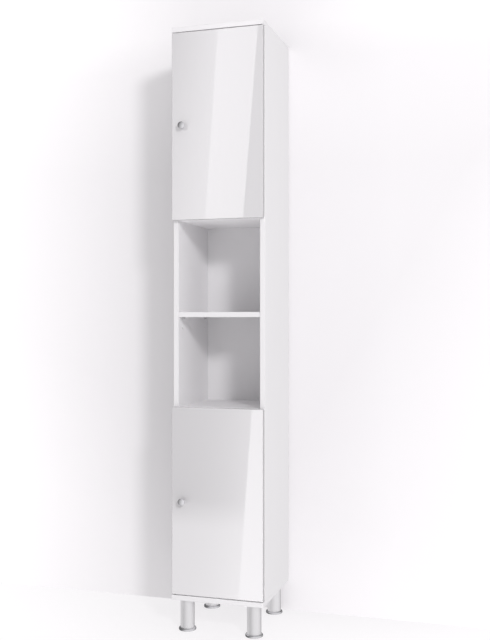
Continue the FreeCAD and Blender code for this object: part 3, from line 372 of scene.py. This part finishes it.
def groove_depth(angle, height, thread):
    """How far a thread's groove cuts in at an angle and a height."""
    start, end, pitch, depth = thread
    if not start < height < end:
        return 0.0
    turns = (height - start) / pitch - angle / math.tau
    fade = min(1, (height - start) / pitch, (end - height) / pitch)
    return depth * fade * (1 - abs(2 * (turns % 1) - 1))


def with_thread_rows(profile, thread):
    """A profile with the extra rows that its thread needs."""
    start, end, pitch, _ = thread
    rows = [profile[0]]
    for (radius, height), (next_radius, next_height) in zip(profile, profile[1:]):
        widening, climb = next_radius - radius, next_height - height
        if climb > pitch / THREAD_ROWS and height < end and next_height > start:
            steps = math.ceil(climb * THREAD_ROWS / pitch)
            rows += [(radius + widening * step / steps, height + climb * step / steps)
                     for step in range(1, steps)]
        rows.append((next_radius, next_height))
    return rows


def join(shape, first, second):
    """A band of faces between two rings of as many corners."""
    for corner in range(len(first)):
        after = (corner + 1) % len(first)
        shape.faces.new((first[corner], first[after], second[after], second[corner]))


def turned(profile, sides, thread=None, flutes=None):
    """A solid turned about Z, and its topmost ring, which is open.

    The profile's rows are (radius, height), lowest first. A thread is (start, end, pitch, depth), and flutes
    are (count, depth).
    """
    shape = bmesh.new()
    rings = []
    for radius, height in with_thread_rows(profile, thread) if thread else profile:
        ring = []
        for side in range(sides):
            angle = math.tau * side / sides
            reach = radius
            if thread:
                reach -= groove_depth(angle, height, thread)
            if flutes:
                count, depth = flutes
                reach -= depth * (0.5 - 0.5 * math.cos(count * angle))
            ring.append(shape.verts.new((reach * math.cos(angle), reach * math.sin(angle), height)))
        rings.append(ring)
    shape.faces.new(rings[0][::-1])
    for lower, upper in zip(rings, rings[1:]):
        join(shape, lower, upper)
    return shape, rings[-1]


def cross_outline(reach, half_width):
    """The twelve corners of a cross with four equal arms, anticlockwise."""
    arm = ((half_width, half_width), (reach, half_width), (reach, -half_width))
    corners = []
    for quarter in range(4):
        turn = Matrix.Rotation(-math.pi / 2 * quarter, 2)
        corners += [turn @ Vector(corner) for corner in arm]
    return corners[::-1]


def close_with_cross(shape, ring, reach, half_width, depth):
    """Closes a ring with a flat face that has a cross-shaped socket, as a cross-head screw has."""
    level = ring[0].co.z
    outline = cross_outline(reach, half_width)
    mouth = [shape.verts.new((x, y, level)) for x, y in outline]
    bottom = [shape.verts.new((x * SOCKET_TAPER, y * SOCKET_TAPER, level - depth)) for x, y in outline]
    edges = []
    for loop in (ring, mouth):
        for first, second in zip(loop, loop[1:] + loop[:1]):
            edges.append(shape.edges.get((first, second)) or shape.edges.new((first, second)))
    bmesh.ops.triangle_fill(shape, edges=edges, use_beauty=True)
    join(shape, mouth, bottom)
    shape.faces.new(bottom)


def length_along(part, up):
    return abs((part[1] - part[0]).dot(up))


def radius_across(part, up):
    """Half the width of a part's box, square to its axis."""
    return max((part[1] - part[0])[axis] for axis in range(3) if abs(up[axis]) < 0.5) / 2


def seat(part, up):
    """Stands a turned solid, whose axis is Z from 0 upwards, in a part's box with its top towards up."""
    foot = (part[0] + part[1]) / 2 - up * length_along(part, up) / 2
    return Matrix.Translation(foot) @ up.to_track_quat("Z", "Y").to_matrix().to_4x4()


def add_shape(whole, shape, place):
    """Moves a shape to its place and adds it to the whole."""
    shape.transform(place)
    data = bpy.data.meshes.new("one")
    shape.to_mesh(data)
    shape.free()
    whole.from_mesh(data)
    bpy.data.meshes.remove(data)


def show(name, shape, material):
    """Puts a shape into the scene as a piece with smooth faces and crisp edges."""
    bmesh.ops.recalc_face_normals(shape, faces=shape.faces)
    data = bpy.data.meshes.new(name)
    shape.to_mesh(data)
    shape.free()
    data.shade_smooth()
    data.set_sharp_from_angle(angle=SHARP)
    data.materials.append(material)
    made = bpy.data.objects.new(name, data)
    bpy.context.scene.collection.objects.link(made)
    return made


def stand_for(piece, name):
    """The piece takes a node's place and body, and the node is hidden."""
    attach(piece, body_of[name])
    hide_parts(name)


def replace_all(name, label, build, upwards):
    """Replaces a node of alike solids.

    build(part, up) makes one of them, and upwards(part) gives its axis.
    """
    whole = bmesh.new()
    for part in loose_parts(name):
        up = upwards(part)
        add_shape(whole, build(part, up), seat(part, up))
    stand_for(show(label, whole, MATERIALS[slot_of[name]]), name)


# ---------------------------------------------------------------- screws
# The shares below are of a screw's shank radius, head radius or head height, as their names say.
SCREW_SIDES = 24
TIP_SHARE_OF_SHANK = 0.12
FLAT_END_SHARE_OF_SHANK = 0.85
CHAMFER_SHARE_OF_SHANK = 0.15
GROOVE_SHARE_OF_SHANK = 0.22
HEAD_ROWS = ((1, 0.5), (0.93, 0.78))        # shares of the head's radius and height
HEAD_TOP_SHARE_OF_RADIUS = 0.72
CROSS_SHARE_OF_RADIUS = 0.58
CROSS_HALF_SHARE_OF_RADIUS = 0.13
CROSS_DEPTH_SHARE_OF_HEIGHT = 1.3


def cross_head_screw(shank, head, tip, pitch):
    """A maker of pan-head screws with a thread up to the head. A tip of 0 gives a flat end."""
    def build(part, up):
        length, radius = length_along(part, up), radius_across(part, up)
        neck = length - head
        end = shank * (TIP_SHARE_OF_SHANK if tip else FLAT_END_SHARE_OF_SHANK)
        profile = [(end, 0), (shank, tip or shank * CHAMFER_SHARE_OF_SHANK), (shank, neck), (radius, neck)]
        profile += [(across * radius, neck + height * head) for across, height in HEAD_ROWS]
        profile.append((HEAD_TOP_SHARE_OF_RADIUS * radius, length))
        shape, ring = turned(profile, SCREW_SIDES, thread=(0, neck, pitch, GROOVE_SHARE_OF_SHANK * shank))
        close_with_cross(shape, ring, CROSS_SHARE_OF_RADIUS * radius, CROSS_HALF_SHARE_OF_RADIUS * radius,
                         CROSS_DEPTH_SHARE_OF_HEIGHT * head)
        return shape
    return build


WOOD_SCREW = cross_head_screw(shank=0.00175, head=0.0012, tip=0.002, pitch=0.0014)
KNOB_SCREW = cross_head_screw(shank=0.002, head=0.0018, tip=0, pitch=0.0007)
ARM_SCREW = cross_head_screw(shank=0.0025, head=0.002, tip=0, pitch=0.0008)
for door in DOORS:
    replace_all(f"{door}_door_cup_screws", f"{door}_cup_wood_screws", WOOD_SCREW, lambda part: Y)
    replace_all(f"{door}_knob_screw", f"{door}_knob_machine_screw", KNOB_SCREW, lambda part: Y)
replace_all("hinge_plate_screws", "plate_wood_screws", WOOD_SCREW, lambda part: -X)
replace_all("hinge_arm_screws", "arm_machine_screws", ARM_SCREW, lambda part: -X)
replace_all("wall_bracket_screws", "bracket_wood_screws", WOOD_SCREW, lambda part: -Z)

# ---------------------------------------------------------------- cam bolts and dowels
BOLT_THREAD = 0.011
BOLT_THREAD_RADIUS = 0.0025
BOLT_THREAD_PITCH = 0.0018
BOLT_THREAD_DEPTH = 0.0008
BOLT_LEAD = 0.001
BOLT_TIP_SHARE = 0.6
BOLT_COLLAR = 0.0012
BOLT_COLLAR_FADE = 1.5          # the shank starts so many collar heights above the thread
BOLT_SHANK_SHARE = 0.8
BOLT_NECK_RADIUS = 0.0022
BOLT_NECK = 0.0042
BOLT_NECK_SLOPE = 0.001
BOLT_HEAD = 0.0028
BOLT_HEAD_SLOPE = 0.0005
BOLT_HEAD_CHAMFER = 0.001
BOLT_CROSS_SHARE = 0.5
BOLT_CROSS_HALF_SHARE = 0.11
BOLT_CROSS_DEPTH = 0.0012
DOWEL_SIDES = 96
DOWEL_CHAMFER = 0.001
DOWEL_FLUTES = (16, 0.0004)


def inwards(part):
    """The axis of a long fitting, pointing towards the middle of the cabinet."""
    low, high = part
    middle = (low + high) / 2
    if high.z - low.z > high.x - low.x:
        return Z if middle.z < cabinet_middle else -Z
    return X if middle.x < 0 else -X


def cam_bolt(part, up):
    """Screwed end, collar, smooth shank, and the narrow neck and head that the cam grips."""
    length, radius = length_along(part, up), radius_across(part, up)
    shank = BOLT_SHANK_SHARE * radius
    neck_end = length - BOLT_HEAD
    neck_start = neck_end - BOLT_NECK
    profile = [(BOLT_TIP_SHARE * BOLT_THREAD_RADIUS, 0), (BOLT_THREAD_RADIUS, BOLT_LEAD),
               (BOLT_THREAD_RADIUS, BOLT_THREAD), (radius, BOLT_THREAD), (radius, BOLT_THREAD + BOLT_COLLAR),
               (shank, BOLT_THREAD + BOLT_COLLAR_FADE * BOLT_COLLAR), (shank, neck_start - BOLT_NECK_SLOPE),
               (BOLT_NECK_RADIUS, neck_start), (BOLT_NECK_RADIUS, neck_end),
               (radius, neck_end + BOLT_HEAD_SLOPE), (radius, length - BOLT_HEAD_CHAMFER),
               (HEAD_TOP_SHARE_OF_RADIUS * radius, length)]
    shape, ring = turned(profile, SCREW_SIDES, thread=(0, BOLT_THREAD, BOLT_THREAD_PITCH, BOLT_THREAD_DEPTH))
    close_with_cross(shape, ring, BOLT_CROSS_SHARE * radius, BOLT_CROSS_HALF_SHARE * radius, BOLT_CROSS_DEPTH)
    return shape


def fluted_dowel(part, up):
    length, radius = length_along(part, up), radius_across(part, up)
    profile = [(radius - DOWEL_CHAMFER, 0), (radius, DOWEL_CHAMFER), (radius, length - DOWEL_CHAMFER),
               (radius - DOWEL_CHAMFER, length)]
    shape, ring = turned(profile, DOWEL_SIDES, flutes=DOWEL_FLUTES)
    shape.faces.new(ring)
    return shape


replace_all("cam_bolts", "screwed_cam_bolts", cam_bolt, inwards)
replace_all("wood_dowels", "fluted_dowels", fluted_dowel, inwards)

# ---------------------------------------------------------------- cam locks
CAM_SOCKET = 0.0036
CAM_SOCKET_HALF = 0.0008
CAM_SOCKET_DEPTH = 0.003
CAM_ARROW = 0.0013
CAM_ARROW_SHAPE = ((0.6, -0.8), (2, 0), (0.6, 0.8))
CAM_ARROW_DEPTH = 0.0005
CAM_CUT_ABOVE = 0.0005


def prism(outline, depth):
    """A solid that reaches a depth below Z 0 and a little above it."""
    shape = bmesh.new()
    rim = [shape.verts.new((x, y, CAM_CUT_ABOVE)) for x, y in outline]
    base = [shape.verts.new((x, y, -depth)) for x, y in outline]
    shape.faces.new(rim)
    shape.faces.new(base[::-1])
    join(shape, base, rim)
    return shape


def cam_face(part):
    """The side of a cam lock that is open to a compartment."""
    low, high = part
    middle = (low + high) / 2
    if high.z - low.z < high.x - low.x:
        return -Z if middle.z < cabinet_middle else Z
    return X if middle.x < 0 else -X


def cross_socket_cams():
    """The cam locks of the frame, with a cross socket and an arrow cut into their faces."""
    drums = bmesh.new()
    drums.from_mesh(nodes["cam_locks"].data)
    bmesh.ops.remove_doubles(drums, verts=drums.verts, dist=MERGE)
    piece = show("cross_socket_cams", drums, MATERIALS[slot_of["cam_locks"]])
    socket = cross_outline(CAM_SOCKET, CAM_SOCKET_HALF)
    arrow = [(CAM_SOCKET + CAM_ARROW * u, CAM_ARROW * v) for u, v in CAM_ARROW_SHAPE]
    cuts = bmesh.new()
    for part in loose_parts("cam_locks"):
        up = cam_face(part)
        place = seat(part, up) @ Matrix.Translation((0, 0, length_along(part, up)))
        add_shape(cuts, prism(socket, CAM_SOCKET_DEPTH), place)
        add_shape(cuts, prism(arrow, CAM_ARROW_DEPTH), place)
    tool = show("cam_cutters", cuts, MATERIALS[slot_of["cam_locks"]])
    carve = piece.modifiers.new("sockets", "BOOLEAN")
    carve.operation = "DIFFERENCE"
    carve.object = tool
    carved = bpy.data.meshes.new_from_object(piece.evaluated_get(bpy.context.evaluated_depsgraph_get()))
    piece.modifiers.clear()
    piece.data = carved
    carved.set_sharp_from_angle(angle=SHARP)
    bpy.data.objects.remove(tool)
    stand_for(piece, "cam_locks")


cross_socket_cams()

# ---------------------------------------------------------------- levelling feet and their inserts
FOOT_SIDES = 64
FOOT_ROUND = 0.0015             # radius of the disc's lower edge
FOOT_SIDE = 0.0044              # where the disc starts to draw in towards the tube
FOOT_LIP = 0.001
SPINDLE_RADIUS = 0.005
SPINDLE_PITCH = 0.0015
SPINDLE_GROOVE = 0.0007
SPINDLE_START = 0.002           # smooth length above the disc
SPINDLE_CHAMFER = 0.001
SPINDLE_END_SHARE = 0.8
SPINDLE_CROSS = (0.0026, 0.0005, 0.0015)
INSERT_SIDES = 48
INSERT_FLANGE = 0.0015
INSERT_FLANGE_CHAMFER = 0.0004
INSERT_RADIUS = 0.0075
INSERT_CHAMFER = 0.0006
INSERT_PITCH = 0.0025
INSERT_GROOVE = 0.0009
STUD_RADIUS = 0.00505
ROUND_STEPS = 6
QUARTER = [math.pi / 2 * step / ROUND_STEPS for step in range(ROUND_STEPS + 1)]


def levelling_foot(part, up):
    """A chrome disc, drawn in towards the tube, on a threaded spindle."""
    length, radius = length_along(part, up), radius_across(part, up)
    lip = tube_radius + FOOT_LIP / 2
    rim, slope = radius - lip, foot_height - FOOT_SIDE
    lower_edge = [(radius - FOOT_ROUND * (1 - math.sin(angle)), FOOT_ROUND * (1 - math.cos(angle)))
                  for angle in QUARTER]
    shoulder = [(lip + rim * math.cos(angle), FOOT_SIDE + slope * math.sin(angle)) for angle in QUARTER]
    profile = [*lower_edge, *shoulder, (SPINDLE_RADIUS, foot_height),
               (SPINDLE_RADIUS, length - SPINDLE_CHAMFER), (SPINDLE_END_SHARE * SPINDLE_RADIUS, length)]
    thread = (foot_height + SPINDLE_START, length, SPINDLE_PITCH, SPINDLE_GROOVE)
    shape, ring = turned(profile, FOOT_SIDES, thread)
    close_with_cross(shape, ring, *SPINDLE_CROSS)
    return shape


def threaded_insert(part, up):
    """A flanged nut with a coarse thread that grips the board, open in the middle for the stud."""
    length, radius = length_along(part, up), radius_across(part, up)
    outside = [(radius - INSERT_FLANGE_CHAMFER, 0), (radius, INSERT_FLANGE_CHAMFER), (radius, INSERT_FLANGE),
               (INSERT_RADIUS, INSERT_FLANGE), (INSERT_RADIUS, length - INSERT_CHAMFER),
               (INSERT_RADIUS - INSERT_CHAMFER, length)]
    shape, top = turned(outside, INSERT_SIDES, thread=(INSERT_FLANGE, length, INSERT_PITCH, INSERT_GROOVE))
    shape.verts.ensure_lookup_table()
    base = list(shape.verts)[:INSERT_SIDES]
    shape.faces.remove(next(face for face in shape.faces if len(face.verts) == INSERT_SIDES))
    bores = []
    for ring in (base, top):
        bore = [shape.verts.new((*(STUD_RADIUS * vertex.co.xy.normalized()), vertex.co.z)) for vertex in ring]
        join(shape, ring, bore)
        bores.append(bore)
    join(shape, *bores)
    return shape


for leg in LEGS:
    replace_all(f"{leg}_foot", f"{leg}_levelling_foot", levelling_foot, lambda part: Z)
replace_all("leg_inserts", "coarse_leg_inserts", threaded_insert, lambda part: Z)

# ---------------------------------------------------------------- room
ROOM = 9.0
ROOM_TINT = (1, 0.985, 1)
ROOM_WAVES = 2
ROOM_SHADE = 0.98
WALL_GAP = 0.004
WALL_ALBEDO, WALL_LIFT = 0.84, 0.0
FLOOR_ALBEDO, FLOOR_LIFT = 0.25, 0.67
# Each rise is painted light and shade: a glow that the camera alone sees, growing along a direction, which
# stands in for how light and the cabinet's shade fall across the wall and floor. Each is a direction, the
# distances along it where it starts and ends, and the most that it adds.
WALL_PAINTED_LIGHT = ((-X, 0.18, 1.6, 0.55), (X - 0.6 * Z, -0.15, 1.4, 0.31), (Z, 1.5, 1.86, 0.055),
              (Z, 1.86, 1.98, 0.07), (X, 0.15, 0.5, 0.06), (-0.5 * X - Z, -0.5, 0, 0.045))
FLOOR_PAINTED_LIGHT = ((-X, 0, 1, 0.16), (X, 0, 1, 0.14), (-Y, -0.17, 0.25, 0.06))
ONE_FACE = [(0, 1, 2, 3)]


def mesh_object(name, corners, faces, material):
    data = bpy.data.meshes.new(name)
    data.from_pydata([tuple(corner) for corner in corners], [], faces)
    data.materials.append(material)
    made = bpy.data.objects.new(name, data)
    bpy.context.scene.collection.objects.link(made)
    return made


def room_surface(name, albedo, lift, painted_rises, see_through_back=False):
    """A pale painted surface. What the camera sees of it is lifted towards white, evenly, and by rises, which
    are painted light and shade.
    """
    made, tree = blank_material(name)
    seen = node(tree, "ShaderNodeLightPath").outputs["Is Camera Ray"]
    speckle = mottled(tree, (ROOM_WAVES, [ROOM_SHADE * albedo * part for part in ROOM_TINT],
                             [albedo * part for part in ROOM_TINT]))
    paint = node(tree, "ShaderNodeBsdfDiffuse", {"Color": speckle})
    lift_and_painted_light = lift
    # painted light and shade: each rise adds a camera-only glow that grows along its direction
    for way, start, end, most in painted_rises:
        lift_and_painted_light = maths(tree, "ADD", ramp(tree, dot(tree, stretched(tree), way), 0, most, start, end), lift_and_painted_light)
    glow = node(tree, "ShaderNodeEmission", {"Color": (*ROOM_TINT, 1),
                                             "Strength": maths(tree, "MULTIPLY", seen, lift_and_painted_light)})
    surface = node(tree, "ShaderNodeAddShader", {0: paint.outputs["BSDF"], 1: glow.outputs["Emission"]})
    surface = surface.outputs["Shader"]
    if see_through_back:
        side = node(tree, "ShaderNodeNewGeometry")
        clear = node(tree, "ShaderNodeBsdfTransparent")
        surface = node(tree, "ShaderNodeMixShader", {"Fac": side.outputs["Backfacing"], 1: surface,
                                                     2: clear.outputs["BSDF"]}).outputs["Shader"]
    node(tree, "ShaderNodeOutputMaterial", {"Surface": surface})
    return made


wall_y = cad_box[1].y + WALL_GAP
floor_paint = room_surface("floor_white", FLOOR_ALBEDO, FLOOR_LIFT, FLOOR_PAINTED_LIGHT)
wall_paint = room_surface("wall_white", WALL_ALBEDO, WALL_LIFT, WALL_PAINTED_LIGHT, see_through_back=True)
floor = mesh_object("floor", [(-ROOM, -ROOM, 0), (ROOM, -ROOM, 0), (ROOM, ROOM, 0), (-ROOM, ROOM, 0)],
                    ONE_FACE, floor_paint)
wall = mesh_object("wall", [(x, wall_y, z) for x, z in ((-ROOM, 0), (ROOM, 0), (ROOM, ROOM), (-ROOM, ROOM))],
                   ONE_FACE, wall_paint)
for surface in (floor, wall):
    surface.visible_diffuse = False
    surface.visible_glossy = False
wall.visible_shadow = False

# ---------------------------------------------------------------- light
LIGHT_TINT = (1, 0.988, 1)
KEY_PLACE = Vector((2.48, -3.5, 2.65))
KEY_AIM = Vector((0, 0, -1))
KEY_WIDTH = 0.7
KEY_POWER = 80

key_data = bpy.data.lights.new("key_light", "AREA")
key_data.shape = "DISK"
key_data.size = KEY_WIDTH
key_data.energy = KEY_POWER
key_data.color = LIGHT_TINT
key_light = bpy.data.objects.new("key_light", key_data)
key_light.location = KEY_PLACE
key_light.rotation_euler = (KEY_PLACE - KEY_AIM).to_track_quat("Z", "Y").to_euler()
key_light.visible_glossy = False
bpy.context.scene.collection.objects.link(key_light)

SKY_WALLS = {"low": 0.2, "high": 0.78, "start": -0.2, "end": 1}
SKY_CEILING = {"low": 0, "high": 0.6, "start": 0.55, "end": 0.8}
SKY_FLOOR = 1.0
MIRRORED_WAY = (0.6, -0.5, -0.25)
MIRRORED_ROOM = {"low": 0.2, "high": 0.95, "start": -0.35, "end": 0.6}
BACKDROP = 0.97


def sky_strength(tree, way):
    """Soft light: a bright floor and ceiling, and walls that are brighter on the viewer's right."""
    parts = node(tree, "ShaderNodeSeparateXYZ", {0: way})
    above = maths(tree, "ADD", ramp(tree, parts.outputs["X"], **SKY_WALLS),
                  ramp(tree, parts.outputs["Z"], **SKY_CEILING))
    below = maths(tree, "LESS_THAN", parts.outputs["Z"], 0.0)
    return node(tree, "ShaderNodeMix", {"Factor": below, "A": above, "B": SKY_FLOOR}).outputs["Result"]


def mirrored_strength(tree, way):
    """What metal mirrors: a room bright in front and on the right, dark behind and above on the left."""
    return ramp(tree, dot(tree, way, MIRRORED_WAY), **MIRRORED_ROOM)


world = bpy.data.worlds.new("studio")
world.use_nodes = True
sky = world.node_tree
sky.nodes.clear()
direction = node(sky, "ShaderNodeTexCoord").outputs["Generated"]
path = node(sky, "ShaderNodeLightPath")
lit = node(sky, "ShaderNodeMix", {"Factor": path.outputs["Is Glossy Ray"], "A": sky_strength(sky, direction),
                                  "B": mirrored_strength(sky, direction)}).outputs["Result"]
shown = node(sky, "ShaderNodeMix", {"Factor": path.outputs["Is Camera Ray"], "A": lit,
                                    "B": BACKDROP}).outputs["Result"]
light_around = node(sky, "ShaderNodeBackground", {"Color": (*LIGHT_TINT, 1), "Strength": shown})
node(sky, "ShaderNodeOutputWorld", {"Surface": light_around.outputs[0]})
bpy.context.scene.world = world


# ---------------------------------------------------------------- lit cards
def clear_glow(name, tint, strength=None):
    """A lit, clear material. Where no strength is given, the mesh's own strength attribute is read."""
    made, tree = blank_material(name)
    if strength is None:
        strength = node(tree, "ShaderNodeAttribute", attribute_name="strength").outputs["Fac"]
    glow = node(tree, "ShaderNodeEmission", {"Color": (*tint, 1), "Strength": strength})
    clear = node(tree, "ShaderNodeBsdfTransparent")
    added = node(tree, "ShaderNodeAddShader", {0: glow.outputs["Emission"], 1: clear.outputs["BSDF"]})
    node(tree, "ShaderNodeOutputMaterial", {"Surface": added.outputs["Shader"]})
    return made


def group(name, members):
    """A collection of nodes, for a card to light."""
    made = bpy.data.collections.new(name)
    for member in members:
        made.objects.link(nodes[member])
    return made


def light_only(card, receivers):
    """Lets a card reach the receivers alone, unseen by the camera and without a shadow."""
    card.light_linking.receiver_collection = receivers
    card.visible_camera = False
    card.visible_shadow = False
    card.visible_transmission = False


# ---------------------------------------------------------------- what the glossy fronts mirror
CARD_STEPS = 8
CARD_DISTANCE = 2.9
lacquered_fronts = group("lacquered_fronts", ("upper_door", "lower_door", "top_panel", "bottom_panel"))


def reflected(x, z):
    """The point, in the cards' plane, that the camera sees mirrored at x, z on the doors."""
    mirrored_eye = Vector((EYE.x, 2 * door_front - EYE.y, EYE.z))
    spot = Vector((x, door_front, z))
    reach = (mirrored_eye.y - door_front + CARD_DISTANCE) / (mirrored_eye.y - door_front)
    return mirrored_eye + (spot - mirrored_eye) * reach


def between(four, u, v):
    """A blend of four values, which belong to the corners from the lower left round to the upper left."""
    low = four[0] + (four[1] - four[0]) * u
    high = four[3] + (four[2] - four[3]) * u
    return low + (high - low) * v


def softbox(name, corners, strengths, bend=1):
    """A card that only the lacquered fronts mirror. It adds to the light of the room behind it.

    corners, from the lower left round to the upper left, say where its mirror image lies on the doors, as the
    camera sees it. strengths go with them, and are blended over the card, from left to right by the bend-th
    power.
    """
    across, up = ([corner[axis] for corner in corners] for axis in (0, 1))
    points, values = [], []
    for row in range(CARD_STEPS + 1):
        for column in range(CARD_STEPS + 1):
            u, v = column / CARD_STEPS, row / CARD_STEPS
            points.append(reflected(between(across, u, v), between(up, u, v)))
            values.append(between(strengths, u ** bend, v))
    width = CARD_STEPS + 1
    faces = [(a, a + 1, a + 1 + width, a + width)
             for row in range(CARD_STEPS) for a in range(row * width, row * width + CARD_STEPS)]
    card = mesh_object(name, points, faces, clear_glow(name, ROOM_TINT))
    card.data.attributes.new("strength", "FLOAT", "POINT").data.foreach_set("value", values)
    card.visible_diffuse = False
    light_only(card, lacquered_fronts)


# Places on the doors: x, or x and z.
LEFT, RIGHT = -0.16, 0.16
UPPER_LOW, UPPER_HIGH = 1.27, 1.91
LOWER_LOW, LOWER_HIGH = 0.09, 0.72
LINE_LOW, LINE_HIGH = 0.335, 0.42
UPPER_BAND = ((-0.04, UPPER_LOW), (0.0835, UPPER_LOW), (0.1351, UPPER_HIGH), (0.0058, UPPER_HIGH))
LOWER_BAND = ((0.0683, LOWER_LOW), (RIGHT, LOWER_LOW), (RIGHT, LOWER_HIGH), (0.1146, LOWER_HIGH))
LINE_CORNERS = ((0.0863, LINE_LOW), (0.0925, LINE_HIGH))

softbox("upper_softbox", UPPER_BAND, (4.2, 3.7, 3.7, 4.2))
softbox("upper_left_room", ((LEFT, UPPER_LOW), UPPER_BAND[0], UPPER_BAND[3], (LEFT, UPPER_HIGH)),
        (2.1, 3.1, 2.7, 0.1))
softbox("upper_right_room", (UPPER_BAND[1], (RIGHT, UPPER_LOW), (RIGHT, UPPER_HIGH), UPPER_BAND[2]),
        (1.0, 0.9, 1.0, 1.1))
softbox("lower_softbox", LOWER_BAND, (5.8, 5.8, 4.3, 4.3))
softbox("lower_room", ((LEFT, LINE_HIGH), LINE_CORNERS[1], LOWER_BAND[3], (LEFT, LOWER_HIGH)),
        (0.0, 2.3, 2.0, 0.0), bend=2)
softbox("floor_line", ((LEFT, LINE_LOW), *LINE_CORNERS, (LEFT, LINE_HIGH)), (2.6, 4.0, 2.3, 0.0), bend=2)
softbox("lit_floor", ((LEFT, LOWER_LOW), LOWER_BAND[0], LINE_CORNERS[0], (LEFT, LINE_LOW)),
        (2.9, 4.6, 4.0, 2.6), bend=2)

# ---------------------------------------------------------------- fill light
FILL_SIDE = 1.2
LEFT_FILL = [(-FILL_SIDE, y, z) for y, z in ((-0.75, -1.2), (2.5, -1.2), (2.5, 0.4), (-0.75, 0.4))]
LEFT_FILL_STRENGTH = 0.6
FLOOR_FILL_Z = 0.02
FLOOR_FILL = [(x, y, FLOOR_FILL_Z) for x, y in ((-FILL_SIDE, -2.5), (FILL_SIDE, -2.5), (FILL_SIDE, -0.6),
                                                (-FILL_SIDE, -0.6))]
FLOOR_FILL_STRENGTH = 0.8


def fill_card(name, receivers, corners, strength):
    """A card whose light reaches the named pieces alone."""
    card = mesh_object(name, corners, ONE_FACE, clear_glow(name, LIGHT_TINT, strength))
    light_only(card, group(name + "_receivers", receivers))


fill_card("wall_on_the_left", [leg + "_leg_tube" for leg in LEGS], LEFT_FILL, LEFT_FILL_STRENGTH)
fill_card("floor_in_front", ["niche_ceiling_panel"], FLOOR_FILL, FLOOR_FILL_STRENGTH)

bpy.context.scene.view_settings.view_transform = "Standard"
